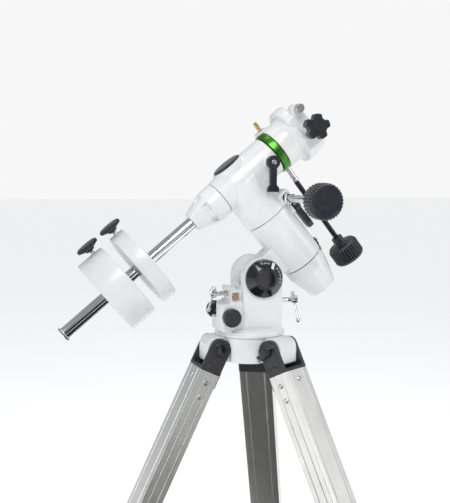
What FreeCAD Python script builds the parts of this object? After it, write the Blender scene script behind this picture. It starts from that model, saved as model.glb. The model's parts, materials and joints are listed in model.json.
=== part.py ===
"""German equatorial mount on a folding aluminium tripod, in millimetres.

Row frame: +Z up, origin on the floor under the azimuth axis, polar axis rising towards -X.
Head frame: origin where the polar and declination axes cross, x up the declination axis,
y as in the row frame, z up the polar axis.
"""
import FreeCAD, Part
import math
import os
import re

import Sketcher

V = FreeCAD.Vector

# ---------------------------------------------------------------- driving dimensions
SIZES = [
    ("latitude", "50.2", "height of the polar axis above level, degrees"),
    ("leg_splay", "26", "lean of each leg, degrees"),
    ("leg_yaw", "4", "turn of the tripod under the mount, degrees"),
    ("leg_length", "720", "leg hinge to the centre of the foot's ball"),
    ("foot_ball", "12", "radius of the foot's ball end"),
    ("hinge_reach", "53", "azimuth axis to leg hinge"),
    ("hinge_drop", "17", "tripod head top down to leg hinge"),
    ("top_height", "=leg_length * cos(leg_splay) + foot_ball + hinge_drop", "tripod head top"),
    ("hub_radius", "47", "tripod head hub"),
    ("lobe_reach", "70", "tripod head lobe"),
    ("lobe_width", "38", "tripod head lobe"),
    ("hub_height", "36", "tripod head"),
    ("hub_wall", "12", "tripod head wall and top plate"),
    ("lobe_corner", "16", "rounding of a lobe's outer top edge"),
    ("hinge_bolt", "5", "radius of each leg hinge bolt"),
    ("plate_gap", "0.4", "lobe side to bracket plate"),
    ("plate_thick", "7", "bracket plate"),
    ("plate_round", "15", "radius of the bracket plate about its hinge"),
    ("plate_drop", "34.5", "hinge to the lower end of the bracket"),
    ("web_thick", "5", "bracket web between the plates"),
    ("rail_width", "50", "upper leg, along the hinge"),
    ("rail_depth", "30", "upper leg, across"),
    ("rail_wall", "3", "upper leg"),
    ("rail_end", "400", "hinge to the lower end of the upper leg"),
    ("slider_gap", "0.3", "lower leg to upper leg"),
    ("slider_top", "60", "hinge to the top of the lower leg"),
    ("slider_wall", "2", "lower leg"),
    ("foot_top", "686", "hinge to the foot's upper end"),
    ("foot_radius", "15", "foot's upper end"),
    ("clamp_length", "44", "clamp casting at the end of the upper leg"),
    ("clamp_overlap", "16", "clamp over the upper leg"),
    ("clamp_wall", "6", "clamp"),
    ("lock_radius", "14", "leg lock knob"),
    ("lock_stem", "3", "radius of a leg lock knob's stem"),
    ("fit", "0.05", "radial clearance of a running fit"),
    ("seam", "0.6", "gap between castings that turn"),
    ("flange_radius", "50", "base flange"),
    ("flange_thick", "8", "base flange"),
    ("tower_north", "19", "azimuth axis to the tower's north face"),
    ("tower_south", "38.5", "azimuth axis to the tower's south face"),
    ("fork_half", "33", "half width of the fork"),
    ("slot_half", "18.2", "half width of the slot between the cheeks"),
    ("lug_half", "17.9", "half width of the lug between the cheeks"),
    ("tilt_x", "10.4", "latitude hinge, south of the azimuth axis"),
    ("tilt_rise", "82", "latitude hinge above the tripod head"),
    ("cheek_radius", "29.5", "fork cheek about the hinge"),
    ("axle_radius", "6", "latitude axle"),
    ("dial_radius", "27", "latitude dial"),
    ("dial_thick", "12", "latitude dial"),
    ("block_north", "49.5", "azimuth axis to the azimuth block's north face"),
    ("block_rise", "46", "top of the azimuth block above the tripod head"),
    ("peg_x", "39", "azimuth axis to the azimuth peg"),
    ("peg_radius", "5", "azimuth peg"),
    ("screw_rise", "30", "azimuth screws above the tripod head"),
    ("azimuth_knob", "13", "radius of an azimuth screw's knob"),
    ("stand_half", "18", "half width of the stand over the north bolt"),
    ("stand_top", "68", "top of that stand above the tripod head"),
    ("stand_reach", "34", "azimuth axis to that stand's north face"),
    ("north_boss", "9", "radius of the boss round the north bolt"),
    ("ball_room", "41", "azimuth axis to the recess the north bar's ball swings in"),
    ("north_rise", "59", "north latitude bolt above the tripod head"),
    ("south_rise", "46", "south latitude bolt above the tripod head"),
    ("bolt_radius", "3.5", "latitude bolt"),
    ("bolt_tip", "2.5", "radius of a latitude bolt's tip"),
    ("reach_north", "50", "north latitude bolt's tip to its head"),
    ("reach_south", "43", "south latitude bolt's tip to its head"),
    ("north_gap", "1.3", "north bolt's tip to the tongue"),
    ("south_gap", "1.5", "south bolt's tip to the tongue"),
    ("bolt_head", "6", "latitude bolt's head radius"),
    ("bar_rod", "1.5", "tommy bar radius"),
    ("bar_span", "43", "tommy bar between its balls' centres"),
    ("ball_radius", "3.4", "tommy bar's balls"),
    ("lean_north", "-40", "north tommy bar about its bolt, degrees"),
    ("lean_south", "-32", "south tommy bar about its bolt, degrees"),
    ("tongue_half", "9", "half thickness of the lug's tongue"),
    ("tongue_drop", "40", "length of the tongue below the hinge"),
    ("lug_radius", "20", "radius of the lug round the hinge"),
    ("cross_x", "-15", "crossing of the axes, from the azimuth axis"),
    ("cross_rise", "217", "crossing of the axes above the tripod head"),
    ("polar_radius", "33", "polar housing"),
    ("polar_top", "-63.6", "polar housing, along the polar axis"),
    ("polar_foot", "-147", "polar housing, along the polar axis"),
    ("spigot", "26", "radius of the spigot that carries the polar circle"),
    ("shaft_radius", "20", "polar shaft"),
    ("shaft_bore", "13", "polar shaft"),
    ("polar_end", "-201", "polar cover, along the polar axis"),
    ("polar_tip", "21.5", "polar cover's small radius"),
    ("skirt_radius", "34", "declination housing around the polar axis"),
    ("dec_radius", "29.5", "declination housing around the declination axis"),
    ("dec_foot", "-37", "declination housing's lower end"),
    ("dec_top", "58", "declination housing's upper end"),
    ("dec_shaft", "14", "declination shaft radius"),
    ("circle_radius", "31.3", "declination circle"),
    ("circle_top", "69.4", "declination circle's upper face"),
    ("worm_set", "2", "each worm's set-over from square, degrees"),
    ("ra_worm_x", "33.4", "polar worm from the polar axis"),
    ("ra_worm_z", "-56.5", "polar worm along the polar axis"),
    ("dec_worm_x", "79", "declination worm along the declination axis"),
    ("dec_worm_y", "36.4", "declination worm from the declination axis"),
    ("worm_radius", "4.5", "both worms"),
    ("cable_radius", "4", "flexible shafts"),
    ("knob_radius", "23.8", "slow motion knobs"),
    ("knob_length", "28", "slow motion knobs"),
    ("head_base", "70", "saddle head's lower face"),
    ("head_radius", "32.5", "saddle head"),
    ("platform", "97", "saddle platform's lower face"),
    ("groove_floor", "114", "saddle groove's floor"),
    ("jaw_top", "127", "saddle jaws' upper face"),
    ("jaw_half", "34", "half width over the jaws"),
    ("groove_half", "22", "half width of the saddle groove"),
    ("platform_radius", "43", "saddle platform"),
    ("clamp_x", "120.5", "saddle clamp screws along the declination axis"),
    ("star_radius", "18", "star knob"),
    ("nut_radius", "26", "bar nut"),
    ("nut_small", "14.6", "bar nut's small end"),
    ("nut_shoulder", "-58.5", "bar nut, along the declination axis"),
    ("nut_end", "-90", "bar nut, along the declination axis"),
    ("bar_radius", "9.1", "counterweight bar"),
    ("bar_end", "-321", "counterweight bar, along the declination axis"),
    ("stop_radius", "11", "end stop on the bar"),
    ("small_start", "-170.4", "small counterweight, along the declination axis"),
    ("small_thick", "22", "small counterweight"),
    ("large_start", "-208.6", "large counterweight, along the declination axis"),
    ("large_thick", "41", "large counterweight"),
    ("small_screw", "11", "thumbscrew from the small counterweight's upper face"),
    ("large_screw", "13", "thumbscrew from the large counterweight's upper face"),
    ("weight_radius", "57.5", "both counterweights"),
    ("thumb_radius", "16.5", "thumbscrew knob"),
]

doc = FreeCAD.newDocument("equatorial_mount")
sheet = doc.addObject("Spreadsheet::Sheet", "Dims")
for row, (alias, cell, meaning) in enumerate(SIZES, start=1):
    sheet.set(f"A{row}", meaning)
    sheet.set(f"B{row}", cell)
    sheet.setAlias(f"B{row}", alias)
doc.recompute()

ALIASES = {alias for alias, cell, meaning in SIZES}
NODES = []


def size(alias):
    """A driving dimension as a number."""
    return float(sheet.get(alias))


def bound(text):
    """The sheet's names in a size, written as references to the sheet."""
    def reference(match):
        word = match.group(0)
        return "Dims." + word if word in ALIASES else word
    return re.sub(r"[a-z][a-z0-9_]*", reference, text)


def bind(item, prop, value):
    """Set a property from a number, or bind it to the sheet when it is given in words."""
    if isinstance(value, str):
        item.setExpression(prop, bound(value))
    elif prop.startswith("Placement.Base."):
        place = item.Placement
        setattr(place.Base, prop[-1], value)
        item.Placement = place
    else:
        setattr(item, prop, value)


def turn(direction):
    """The rotation that takes +Z to a direction."""
    return FreeCAD.Rotation(V(0, 0, 1), V(*direction))


def put(item, at, direction):
    """Place a primitive: its own +Z along a direction, its origin at a point."""
    item.Placement = FreeCAD.Placement(V(0, 0, 0), turn(direction))
    for axis, value in zip("xyz", at):
        bind(item, "Placement.Base." + axis, value)
    return item


def facing(z_axis, x_axis):
    """The rotation that takes +Z and +X to two square directions."""
    return FreeCAD.Rotation(V(*x_axis), V(0, 0, 0), V(*z_axis), "ZXY")


def cylinder(radius, length, at=(0, 0, 0), direction=(0, 0, 1)):
    item = doc.addObject("Part::Cylinder", "cylinder")
    bind(item, "Radius", radius)
    bind(item, "Height", length)
    return put(item, at, direction)


def cone(low_radius, high_radius, length, at=(0, 0, 0), direction=(0, 0, 1)):
    item = doc.addObject("Part::Cone", "cone")
    bind(item, "Radius1", low_radius)
    bind(item, "Radius2", high_radius)
    bind(item, "Height", length)
    return put(item, at, direction)


def block(length, width, height, at):
    """A box from its lowest corner."""
    item = doc.addObject("Part::Box", "block")
    bind(item, "Length", length)
    bind(item, "Width", width)
    bind(item, "Height", height)
    return put(item, at, (0, 0, 1))


def fused(*pieces):
    item = doc.addObject("Part::MultiFuse", "joined")
    item.Shapes = list(pieces)
    item.Refine = True
    return item


def shared(first, second):
    item = doc.addObject("Part::Common", "shared")
    item.Base = first
    item.Tool = second
    return item


def carved(base, *tools):
    item = doc.addObject("Part::Cut", "carved")
    item.Base = base
    item.Tool = tools[0] if len(tools) == 1 else fused(*tools)
    return item


def rounded(item, radius, wanted):
    """Fillet the edges whose middle a test accepts."""
    doc.recompute()
    chosen = []
    for index, edge in enumerate(item.Shape.Edges, start=1):
        if wanted(edge):
            chosen.append((index, radius, radius))
    soft = doc.addObject("Part::Fillet", "rounded")
    soft.Base = item
    soft.Edges = chosen
    return soft


def turned(outline):
    """A body turned about its own Z, from the (radius, height) corners of its half section."""
    body = doc.addObject("PartDesign::Body", "turned")
    plane = [item for item in body.Origin.OriginFeatures if item.Role == "XZ_Plane"][0]
    sketch = body.newObject("Sketcher::SketchObject", "profile")
    sketch.AttachmentSupport = [(plane, "")]
    sketch.MapMode = "FlatFace"
    count = len(outline)
    for index in range(count):
        sketch.addGeometry(Part.LineSegment(V(index, index * index, 0), V(index + 1, (index + 1) ** 2, 0)), False)
    for index in range(count):
        sketch.addConstraint(Sketcher.Constraint("Coincident", index, 2, (index + 1) % count, 1))
    for index, corner in enumerate(outline):
        for kind, value in zip(("DistanceX", "DistanceY"), corner):
            number = 0.0 if isinstance(value, str) else float(value)
            place = sketch.addConstraint(Sketcher.Constraint(kind, -1, 1, index, 1, number))
            if isinstance(value, str):
                sketch.setExpression(f"Constraints[{place}]", bound(value))
    spin = body.newObject("PartDesign::Revolution", "spin")
    spin.Profile = sketch
    spin.ReferenceAxis = (sketch, ["V_Axis"])
    spin.Angle = 360.0
    body.Tip = spin
    return body


def node(label, item, place=None):
    """Name a finished sub-part and put it in its frame."""
    item.Label = label
    if place is not None:
        item.Placement = place
    NODES.append(item)
    return item


def sphere(radius, at=(0, 0, 0)):
    item = doc.addObject("Part::Sphere", "ball")
    bind(item, "Radius", radius)
    return put(item, at, (0, 0, 1))


def centred(length, width, low, height, at=(0, 0)):
    """A box centred on a vertical line, from a lowest height, all sizes in the sheet's words."""
    x, y = at
    return block(length, width, height, (f"{x} - ({length}) / 2", f"{y} - ({width}) / 2", low))


# ---------------------------------------------------------------- frames
UP = (0, 0, 1)
DOWN = (0, 0, -1)
SOUTH = (1, 0, 0)
NORTH = (-1, 0, 0)
EAST = (0, 1, 0)
WEST = (0, -1, 0)
AXIS_Z = V(0, 0, 1)
AXIS_Y = V(0, 1, 0)
TOP = FreeCAD.Placement(V(0, 0, size("top_height")), FreeCAD.Rotation())
HEAD_LEAN = 90 - size("latitude")
HEAD = FreeCAD.Placement(
    V(size("cross_x"), 0, size("top_height") + size("cross_rise")),
    FreeCAD.Rotation(AXIS_Y, -HEAD_LEAN),
)
# direction from each leg's hinge outwards, before the tripod is turned under the mount
LEGS = {"north": 180, "west": 300, "east": 60}


def on_top(x, y, z, direction=UP):
    """A placement from the centre of the tripod head's top."""
    return TOP.multiply(FreeCAD.Placement(V(x, y, z), turn(direction)))


def in_head(x, y, z, direction=UP):
    """A placement in the head frame."""
    return HEAD.multiply(FreeCAD.Placement(V(x, y, z), turn(direction)))


def leg_frame(angle):
    """Origin on the leg's hinge, x outwards, y along the hinge, z up the leg."""
    heading = angle + size("leg_yaw")
    reach = size("hinge_reach")
    around = FreeCAD.Rotation(AXIS_Z, heading)
    spot = around.multVec(V(reach, 0, size("top_height") - size("hinge_drop")))
    return FreeCAD.Placement(spot, around.multiply(FreeCAD.Rotation(AXIS_Y, -size("leg_splay"))))


def hinge_in_head():
    """The latitude hinge seen in the head frame."""
    spot = V(size("tilt_x"), 0, size("top_height") + size("tilt_rise"))
    return HEAD.inverse().multVec(spot)


# ---------------------------------------------------------------- tripod head
def tripod_head():
    """Hub with three lobes for the legs, hollow from below, notched beside each lobe for its bracket."""
    lobes = []
    notches = []
    for angle in LEGS.values():
        slab = block("lobe_reach", "lobe_width", "hub_height", (0, "-lobe_width / 2", "-hub_height"))
        reach = size("lobe_reach")
        slab = rounded(slab, size("lobe_corner"), lambda edge: (
            abs(edge.CenterOfMass.x - reach) < 0.1 and abs(edge.CenterOfMass.z) < 0.1))
        hole = cylinder("hinge_bolt", "lobe_width + 2",
                        ("hinge_reach", "-lobe_width / 2 - 1", "-hinge_drop"), EAST)
        lobe = carved(slab, hole)
        turn = FreeCAD.Placement(V(0, 0, 0), FreeCAD.Rotation(AXIS_Z, angle))
        lobe.Placement = turn
        lobes.append(lobe)
        for side in ("lobe_width / 2", "-lobe_width / 2 - plate_thick - 1"):
            round_part = cylinder("plate_round + 0.5", "plate_thick + 1",
                                  ("hinge_reach", side, "-hinge_drop"), EAST)
            lower_part = block("2 * plate_round + 1", "plate_thick + 1", "hub_height",
                               ("hinge_reach - plate_round - 0.5", side, "-hinge_drop - hub_height"))
            notch = fused(round_part, lower_part)
            notch.Placement = turn
            notches.append(notch)
    hub = cylinder("hub_radius", "hub_height", (0, 0, "-hub_height"))
    hollow = cylinder("hub_radius - hub_wall", "hub_height", (0, 0, "-hub_height - hub_wall"))
    bore = cylinder("hinge_bolt + fit", "hub_height", (0, 0, "-hub_height + 1"))
    casting = carved(fused(hub, *lobes), hollow, bore, *notches)
    place = TOP.multiply(FreeCAD.Placement(V(0, 0, 0), FreeCAD.Rotation(AXIS_Z, size("leg_yaw"))))
    node("tripod_head", casting, place)


def leg_hinge_bolts():
    """Three bolts with heads, one through each lobe."""
    bolts = []
    for angle in LEGS.values():
        frame = leg_frame(angle)
        shank = "lobe_width + 2 * plate_gap + 2 * plate_thick"
        bolt = fused(
            cylinder("hinge_bolt", shank + " + 8", (0, "-lobe_width / 2 - plate_gap - plate_thick - 4", 0), EAST),
            cylinder("hinge_bolt + 3", 4, (0, "-lobe_width / 2 - plate_gap - plate_thick - 4.4", 0), EAST),
            cylinder("hinge_bolt + 3", 4, (0, "lobe_width / 2 + plate_gap + plate_thick + 0.4", 0), EAST),
        )
        bolt.Placement = frame
        bolts.append(bolt)
    node("leg_hinge_bolts", fused(*bolts))


def azimuth_peg():
    """The peg on the tripod head that the azimuth screws push."""
    node("azimuth_peg", cylinder("peg_radius", 38), on_top(-size("peg_x"), 0, 0))


def centre_lock_bolt():
    """The bolt that holds the mount down, with its hand knob inside the hub."""
    outline = [
        (0, 22), ("hinge_bolt", 22), ("hinge_bolt", "-hub_wall - 0.4"), (14, "-hub_wall - 0.4"),
        (14, "-hub_wall - 6"), (17, "-hub_wall - 8"), (17, "-hub_height + 3"), (15, "-hub_height + 0.5"),
        (0, "-hub_height + 0.5"),
    ]
    node("centre_lock_bolt", turned(outline), on_top(0, 0, 0))


# ---------------------------------------------------------------- legs
def leg_bracket(name, frame):
    """Dark fork of two round topped plates joined by a web."""
    plates = []
    for inner in ("lobe_width / 2 + plate_gap", "-lobe_width / 2 - plate_gap - plate_thick"):
        plates.append(cylinder("plate_round", "plate_thick", (0, inner, 0), EAST))
        plates.append(block("2 * plate_round", "plate_thick", "plate_drop",
                            ("-plate_round", inner, "-plate_drop")))
    whole = "lobe_width + 2 * plate_gap + 2 * plate_thick"
    web = centred("2 * plate_round", whole, "-plate_drop", "web_thick")
    inner_wall = block("web_thick", whole, "plate_drop - 22",
                       ("-plate_round", "-lobe_width / 2 - plate_gap - plate_thick", "-plate_drop"))
    hole = cylinder("hinge_bolt + fit", whole + " + 2",
                    (0, "-lobe_width / 2 - plate_gap - plate_thick - 1", 0), EAST)
    node("leg_bracket_" + name, carved(fused(*plates, web, inner_wall), hole), frame)


def leg_rail(name, frame):
    """Upper leg: a rectangular aluminium tube."""
    length = "rail_end - plate_drop"
    outer = centred("rail_depth", "rail_width", "-rail_end", length)
    inner = centred("rail_depth - 2 * rail_wall", "rail_width - 2 * rail_wall", "-rail_end - 1", length + " + 2")
    node("leg_rail_" + name, carved(outer, inner), frame)


def leg_clamp(name, frame):
    """Casting round the end of the upper leg, with the bore for the lock knob."""
    low = "-rail_end + clamp_overlap - clamp_length"
    body = centred("rail_depth + 2 * clamp_wall", "rail_width + 2 * clamp_wall", low, "clamp_length")
    seat = centred("rail_depth", "rail_width", "-rail_end", "clamp_length")
    throat = centred("rail_depth - 2 * rail_wall", "rail_width - 2 * rail_wall", low + " - 1", "clamp_length")
    hole = cylinder("lock_stem + fit", "rail_depth", (5, 0, low + " + clamp_length / 3"), SOUTH)
    node("leg_clamp_" + name, carved(body, seat, throat, hole), frame)


def leg_lock_knob(name, frame):
    """Hand screw whose tip presses on the lower leg."""
    stem = size("rail_depth") / 2 + size("clamp_wall") + 1
    tip = size("rail_depth") / 2 - size("rail_wall") + 0.2
    height = -size("rail_end") + size("clamp_overlap") - size("clamp_length") * 2 / 3
    outline = [
        (0, tip), ("lock_stem", tip), ("lock_stem", stem), ("lock_radius", stem + 2),
        ("lock_radius", stem + 13), ("lock_radius - 3", stem + 16), (0, stem + 16),
    ]
    place = frame.multiply(FreeCAD.Placement(V(0, 0, height), turn(SOUTH)))
    node("leg_lock_knob_" + name, turned(outline), place)


def leg_extension(name, frame):
    """Lower leg: a thinner tube that slides in the upper one."""
    depth = "rail_depth - 2 * rail_wall - 2 * slider_gap"
    width = "rail_width - 2 * rail_wall - 2 * slider_gap"
    length = "foot_top - slider_top"
    outer = centred(depth, width, "-foot_top", length)
    inner = centred(depth + " - 2 * slider_wall", width + " - 2 * slider_wall", "-foot_top - 1", length + " + 2")
    node("leg_extension_" + name, carved(outer, inner), frame)


def leg_foot(name, frame):
    """Rubber foot: a socket, a taper and a ball end that meets the floor."""
    socket = centred("rail_depth", "rail_width", "-foot_top - 14", 14)
    taper = cone("foot_ball", "foot_radius", "leg_length - foot_top - 14", (0, 0, "-leg_length"))
    node("leg_foot_" + name, fused(socket, taper, sphere("foot_ball", (0, 0, "-leg_length"))), frame)


# ---------------------------------------------------------------- azimuth base and fork
def base_casting():
    """Flange, tower with two cheeks, and the azimuth block on its north side."""
    flange = cylinder("flange_radius", "flange_thick")
    tower = block("tower_north + tower_south", "2 * fork_half", "tilt_rise - 4", ("-tower_north", "-fork_half", 4))
    cheeks = cylinder("cheek_radius", "2 * fork_half", ("tilt_x", "-fork_half", "tilt_rise"), EAST)
    knuckle = block("block_north - tower_north + 4", 60, "block_rise - flange_thick",
                    ("-block_north", -30, "flange_thick"))
    north_face = -size("block_north")
    knuckle = rounded(knuckle, 8, lambda edge: (
        abs(edge.CenterOfMass.x - north_face) < 0.1 and abs(abs(edge.CenterOfMass.y) - 30) < 0.1))
    boss = cylinder("north_boss", 23, ("-tower_north + 4", 0, "north_rise"), NORTH)
    stand = block("stand_reach - tower_north + 2", "2 * stand_half", "stand_top - block_rise + 3",
                  ("-stand_reach", "-stand_half", "block_rise - 3"))
    solid = fused(flange, tower, cheeks, knuckle, boss, stand)
    slot = "2 * slot_half"
    cavity = block(44, slot, 100, ("tilt_x - 20.9", "-slot_half", 38))
    north_gap = block(30, slot, 60, ("tilt_x - 50", "-slot_half", 70))
    south_gap = block(30, slot, 70, ("tilt_x + 20", "-slot_half", 60))
    pocket = block(14, 28, 43, ("-peg_x - 7", -14, -1))
    screws = cylinder("4 + fit", 70, ("-peg_x", -35, "screw_rise"), EAST)
    axle_hole = cylinder("axle_radius", "2 * fork_half + 2", ("tilt_x", "-fork_half - 1", "tilt_rise"), EAST)
    north_hole = cylinder("bolt_radius + fit", 44, (0, 0, "north_rise"), NORTH)
    south_hole = cylinder("bolt_radius + fit", 20, (25, 0, "south_rise"), SOUTH)
    centre_hole = cylinder("hinge_bolt + fit", 25, (0, 0, -1))
    window = block(9, "stand_half", 12, ("-stand_reach + 4", "-stand_half - 1", "north_rise - 6"))
    ball_room = block("block_north - ball_room + 1", 35, 24, ("-block_north - 1", 1, 25))
    casting = carved(solid, cavity, north_gap, south_gap, pocket, screws, axle_hole,
                     north_hole, south_hole, centre_hole, window, ball_room)
    node("base_casting", casting, on_top(0, 0, 0))


def latitude_axle():
    """Pin through the cheeks and the lug, headed on the east side."""
    shank = cylinder("axle_radius", "2 * fork_half", (0, 0, "-fork_half"))
    head = cylinder("2 * axle_radius", 6, (0, 0, "fork_half"))
    node("latitude_axle", fused(shank, head), on_top(size("tilt_x"), 0, size("tilt_rise"), EAST))


def latitude_dial():
    """Round black dial with a bevelled rim on the west cheek."""
    outline = [
        (0, "fork_half"), ("dial_radius", "fork_half"), ("dial_radius", "fork_half + 4"),
        ("dial_radius - 11", "fork_half + dial_thick"), (0, "fork_half + dial_thick"),
    ]
    node("latitude_dial", turned(outline), on_top(size("tilt_x"), 0, size("tilt_rise"), WEST))


def azimuth_screw(label, direction):
    """Knobbed screw that pushes the peg from one side."""
    tip = size("peg_radius") + 0.6
    outline = [
        (0, tip), (4, tip), (4, 37), ("azimuth_knob - 1.5", 37), ("azimuth_knob", 39),
        ("azimuth_knob", 48), ("azimuth_knob - 2", 50), (0, 50),
    ]
    node(label, turned(outline), on_top(-size("peg_x"), 0, size("screw_rise"), direction))


def bolt_frame(side, direction, tip):
    """Origin at a latitude bolt's tip, z along the bolt, x up its leaning tommy bar."""
    lean = FreeCAD.Rotation(V(*direction), size("lean_" + side))
    upright = FreeCAD.Placement(V(tip, 0, size(side + "_rise")), lean)
    return TOP.multiply(upright).multiply(FreeCAD.Placement(V(0, 0, 0), facing(direction, UP)))


def latitude_bolt(side, frame):
    """T-bolt whose tip holds the lug's tongue, with a cross hole in its head."""
    reach = "reach_" + side
    rod = turned([
        (0, 0), ("bolt_tip", 0), ("bolt_tip", 5), ("bolt_radius", 6.5), ("bolt_radius", reach),
        ("bolt_head", reach), ("bolt_head", reach + " + 9"), (0, reach + " + 9"),
    ])
    hole = cylinder("bar_rod + fit", 20, (-10, 0, reach + " + 4.5"), SOUTH)
    node("latitude_bolt_" + side, carved(rod, hole), frame)


def tommy_bar(side, frame):
    """Sliding cross bar with a ball on each end, hanging at its lowest place."""
    high = "bolt_head + ball_radius + 0.3"
    level = "reach_" + side + " + 4.5"
    bar = fused(
        cylinder("bar_rod", "bar_span", (high + " - bar_span", 0, level), SOUTH),
        sphere("ball_radius", (high, 0, level)),
        sphere("ball_radius", (high + " - bar_span", 0, level)),
    )
    node("tommy_bar_" + side, bar, frame)


# ---------------------------------------------------------------- polar axis
def polar_housing():
    """Barrel round the polar shaft, with the lug and tongue that hang in the fork."""
    hinge = hinge_in_head()
    barrel = cylinder("polar_radius", "polar_top - polar_foot", (0, 0, "polar_foot"))
    spigot = cylinder("spigot", 16, (0, 0, "polar_foot - 15"))
    arm = block(-hinge.x, "2 * lug_half", "2 * lug_radius", (hinge.x, "-lug_half", hinge.z - size("lug_radius")))
    lug = cylinder("lug_radius", "2 * lug_half", (hinge.x, "-lug_half", hinge.z), EAST)
    tongue = block("2 * tongue_half", "2 * lug_half", "tongue_drop", (0, 0, 0))
    upright = FreeCAD.Placement(hinge, FreeCAD.Rotation(AXIS_Y, HEAD_LEAN))
    corner = V(-size("tongue_half"), -size("lug_half"), -size("tongue_drop"))
    tongue.Placement = upright.multiply(FreeCAD.Placement(corner, FreeCAD.Rotation()))
    lever_boss = cylinder(9, 14, (20.5, -8, -78), SOUTH)
    solid = fused(barrel, spigot, arm, lug, tongue, lever_boss)
    bore = cylinder("shaft_radius + fit", 120, (0, 0, "polar_foot - 20"))
    relief = cylinder("shaft_radius + 3", 44, (0, 0, -128))
    hinge_hole = cylinder("axle_radius + fit", 60, (hinge.x, -30, hinge.z), EAST)
    lever_hole = cylinder("3 + fit", 30, (15, -8, -78), SOUTH)
    node("polar_housing", carved(solid, bore, relief, hinge_hole, lever_hole), in_head(0, 0, 0))


def polar_cover():
    """White bell shaped cover over the lower end of the polar axis."""
    outline = [
        ("polar_radius - 3.6", "polar_foot - 2.5"), ("polar_radius - 2", "polar_foot - 2.5"),
        ("polar_radius - 1.6", "polar_foot - 14"), ("polar_tip + 3", "polar_end + 12"),
        ("polar_tip", "polar_end + 2"), ("polar_tip - 4", "polar_end"), (0, "polar_end"),
        (0, "polar_end + 3"), ("polar_tip - 4", "polar_end + 4"), (25, "polar_foot - 18"),
        ("spigot + fit", "polar_foot - 16"), ("spigot + fit", "polar_foot - 11"),
        ("polar_radius - 3.6", "polar_foot - 10"),
    ]
    node("polar_cover", turned(outline), in_head(0, 0, 0))


def ra_circle():
    """Green setting circle on the housing's spigot."""
    outline = [
        ("spigot", "polar_foot - 1"), ("spigot + 3", "polar_foot - 1"),
        ("spigot + 3", "polar_foot - 9"), ("spigot", "polar_foot - 9"),
    ]
    node("ra_circle", turned(outline), in_head(0, 0, 0))


def ra_pointer():
    """Bent pointer and its screw at the edge of the polar housing."""
    foot = block(3, 8, 12, ("polar_radius", -4, "polar_foot + 1"))
    tip = block(2, 3, 8, ("polar_radius", -1.5, "polar_foot - 6"))
    screw = cylinder(3.4, 3, ("polar_radius + 3", 0, "polar_foot + 9"), SOUTH)
    node("ra_pointer", fused(foot, tip, screw), in_head(0, 0, 0))


def clutch_lever(label, place, thick, arm_width, grip_width):
    """Clutch lever: threaded stud, hub and a flared arm, turning about its own Z, arm along -X."""
    stud = cylinder(3, 13, (0, 0, -9))
    hub = cylinder(9.5, 9.5, (0, 0, 1))
    arm = block(36, arm_width, thick, (-36, -arm_width / 2, 9.5 - thick))
    grip = block(8, grip_width, thick, (-41, -grip_width / 2, 9.5 - thick))
    node(label, fused(stud, hub, arm, grip), place)


def ra_shaft():
    """Hollow polar shaft."""
    outline = [
        ("shaft_bore", "polar_foot + 2"), ("shaft_radius", "polar_foot + 2"),
        ("shaft_radius", -22), ("shaft_bore", -22),
    ]
    node("ra_shaft", turned(outline), in_head(0, 0, 0))


def worm_wheel(label, bore, rim, place):
    """Brass wheel with a throat that the worm runs in."""
    outline = [
        (bore, -5.5), (rim + " - 1", -5.5), (rim, -4.5), (rim, 4.5), (rim + " - 1", 5.5), (bore, 5.5),
    ]
    node(label, turned(outline), place)


def worm(label, start, end, place):
    """Brass worm between two journals; its thread is drawn as rings."""
    outline = [(0, start), (3, start), (3, -17)]
    for step in range(6):
        low = -16 + 5.5 * step
        outline += [(3.4, low - 0.5), ("worm_radius", low + 0.5), ("worm_radius", low + 2.5), (3.4, low + 3.5)]
    outline += [(3, 17), (3, end), (0, end)]
    node(label, turned(outline), place)


def slow_shaft(label, start, sleeve_end, end, place):
    """Metal sleeve on the worm's end, then the flexible shaft."""
    outline = [
        (3, start), (5.2, start), (5.2, sleeve_end), ("cable_radius", sleeve_end),
        ("cable_radius", end), (0, end), (0, start + 12), (3, start + 12),
    ]
    node(label, turned(outline), place)


def slow_knob(label, start, place):
    """Ribbed hand knob with a set screw neck."""
    outline = [
        ("cable_radius", start), (8.5, start), (8.5, start + 12), ("knob_radius - 3", start + 13),
        ("knob_radius", start + 17), ("knob_radius", f"{start} + 10 + knob_length"),
        ("knob_radius - 3", f"{start} + 13 + knob_length"), (0, f"{start} + 13 + knob_length"),
        (0, start + 14), ("cable_radius", start + 14),
    ]
    node(label, turned(outline), place)


def declination_housing():
    """Tee shaped housing: a skirt round the polar axis crossed by the declination barrel."""
    skirt = cylinder("skirt_radius", 63, (0, 0, -63))
    barrel = cylinder("dec_radius", "dec_top - dec_foot", ("dec_foot", 0, 0), SOUTH)
    neck = cylinder(22, 14, ("dec_top - 2.2", 0, 0), SOUTH)
    crown = cylinder(24.5, 29.5, (0, 0, 0))
    carrier = block(20, 52, 16, (22, -26, -63))
    boss = cylinder(9, 12, (45, -19.5, -3), WEST)
    solid = fused(skirt, barrel, neck, crown, carrier, boss)
    shaft_seat = cylinder("shaft_radius", 45, (0, 0, -67))
    wheel_room = cylinder(31, 14.5, (0, 0, -63.5))
    worm_room = cylinder("worm_radius + 1.5", 60, ("ra_worm_x", -30, "ra_worm_z"), EAST)
    dec_bore = cylinder("dec_shaft + fit", 120, (-40, 0, 0), SOUTH)
    sight = cylinder(12, 60, (0, 0, -25))
    cap_seat = cylinder("shaft_radius + fit", 12, (0, 0, 19.5))
    lever_hole = cylinder("3 + fit", 20, (45, -14.5, -3), WEST)
    casting = carved(solid, shaft_seat, wheel_room, worm_room, dec_bore, sight, cap_seat, lever_hole)
    node("declination_housing", casting, in_head(0, 0, 0))


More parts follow.
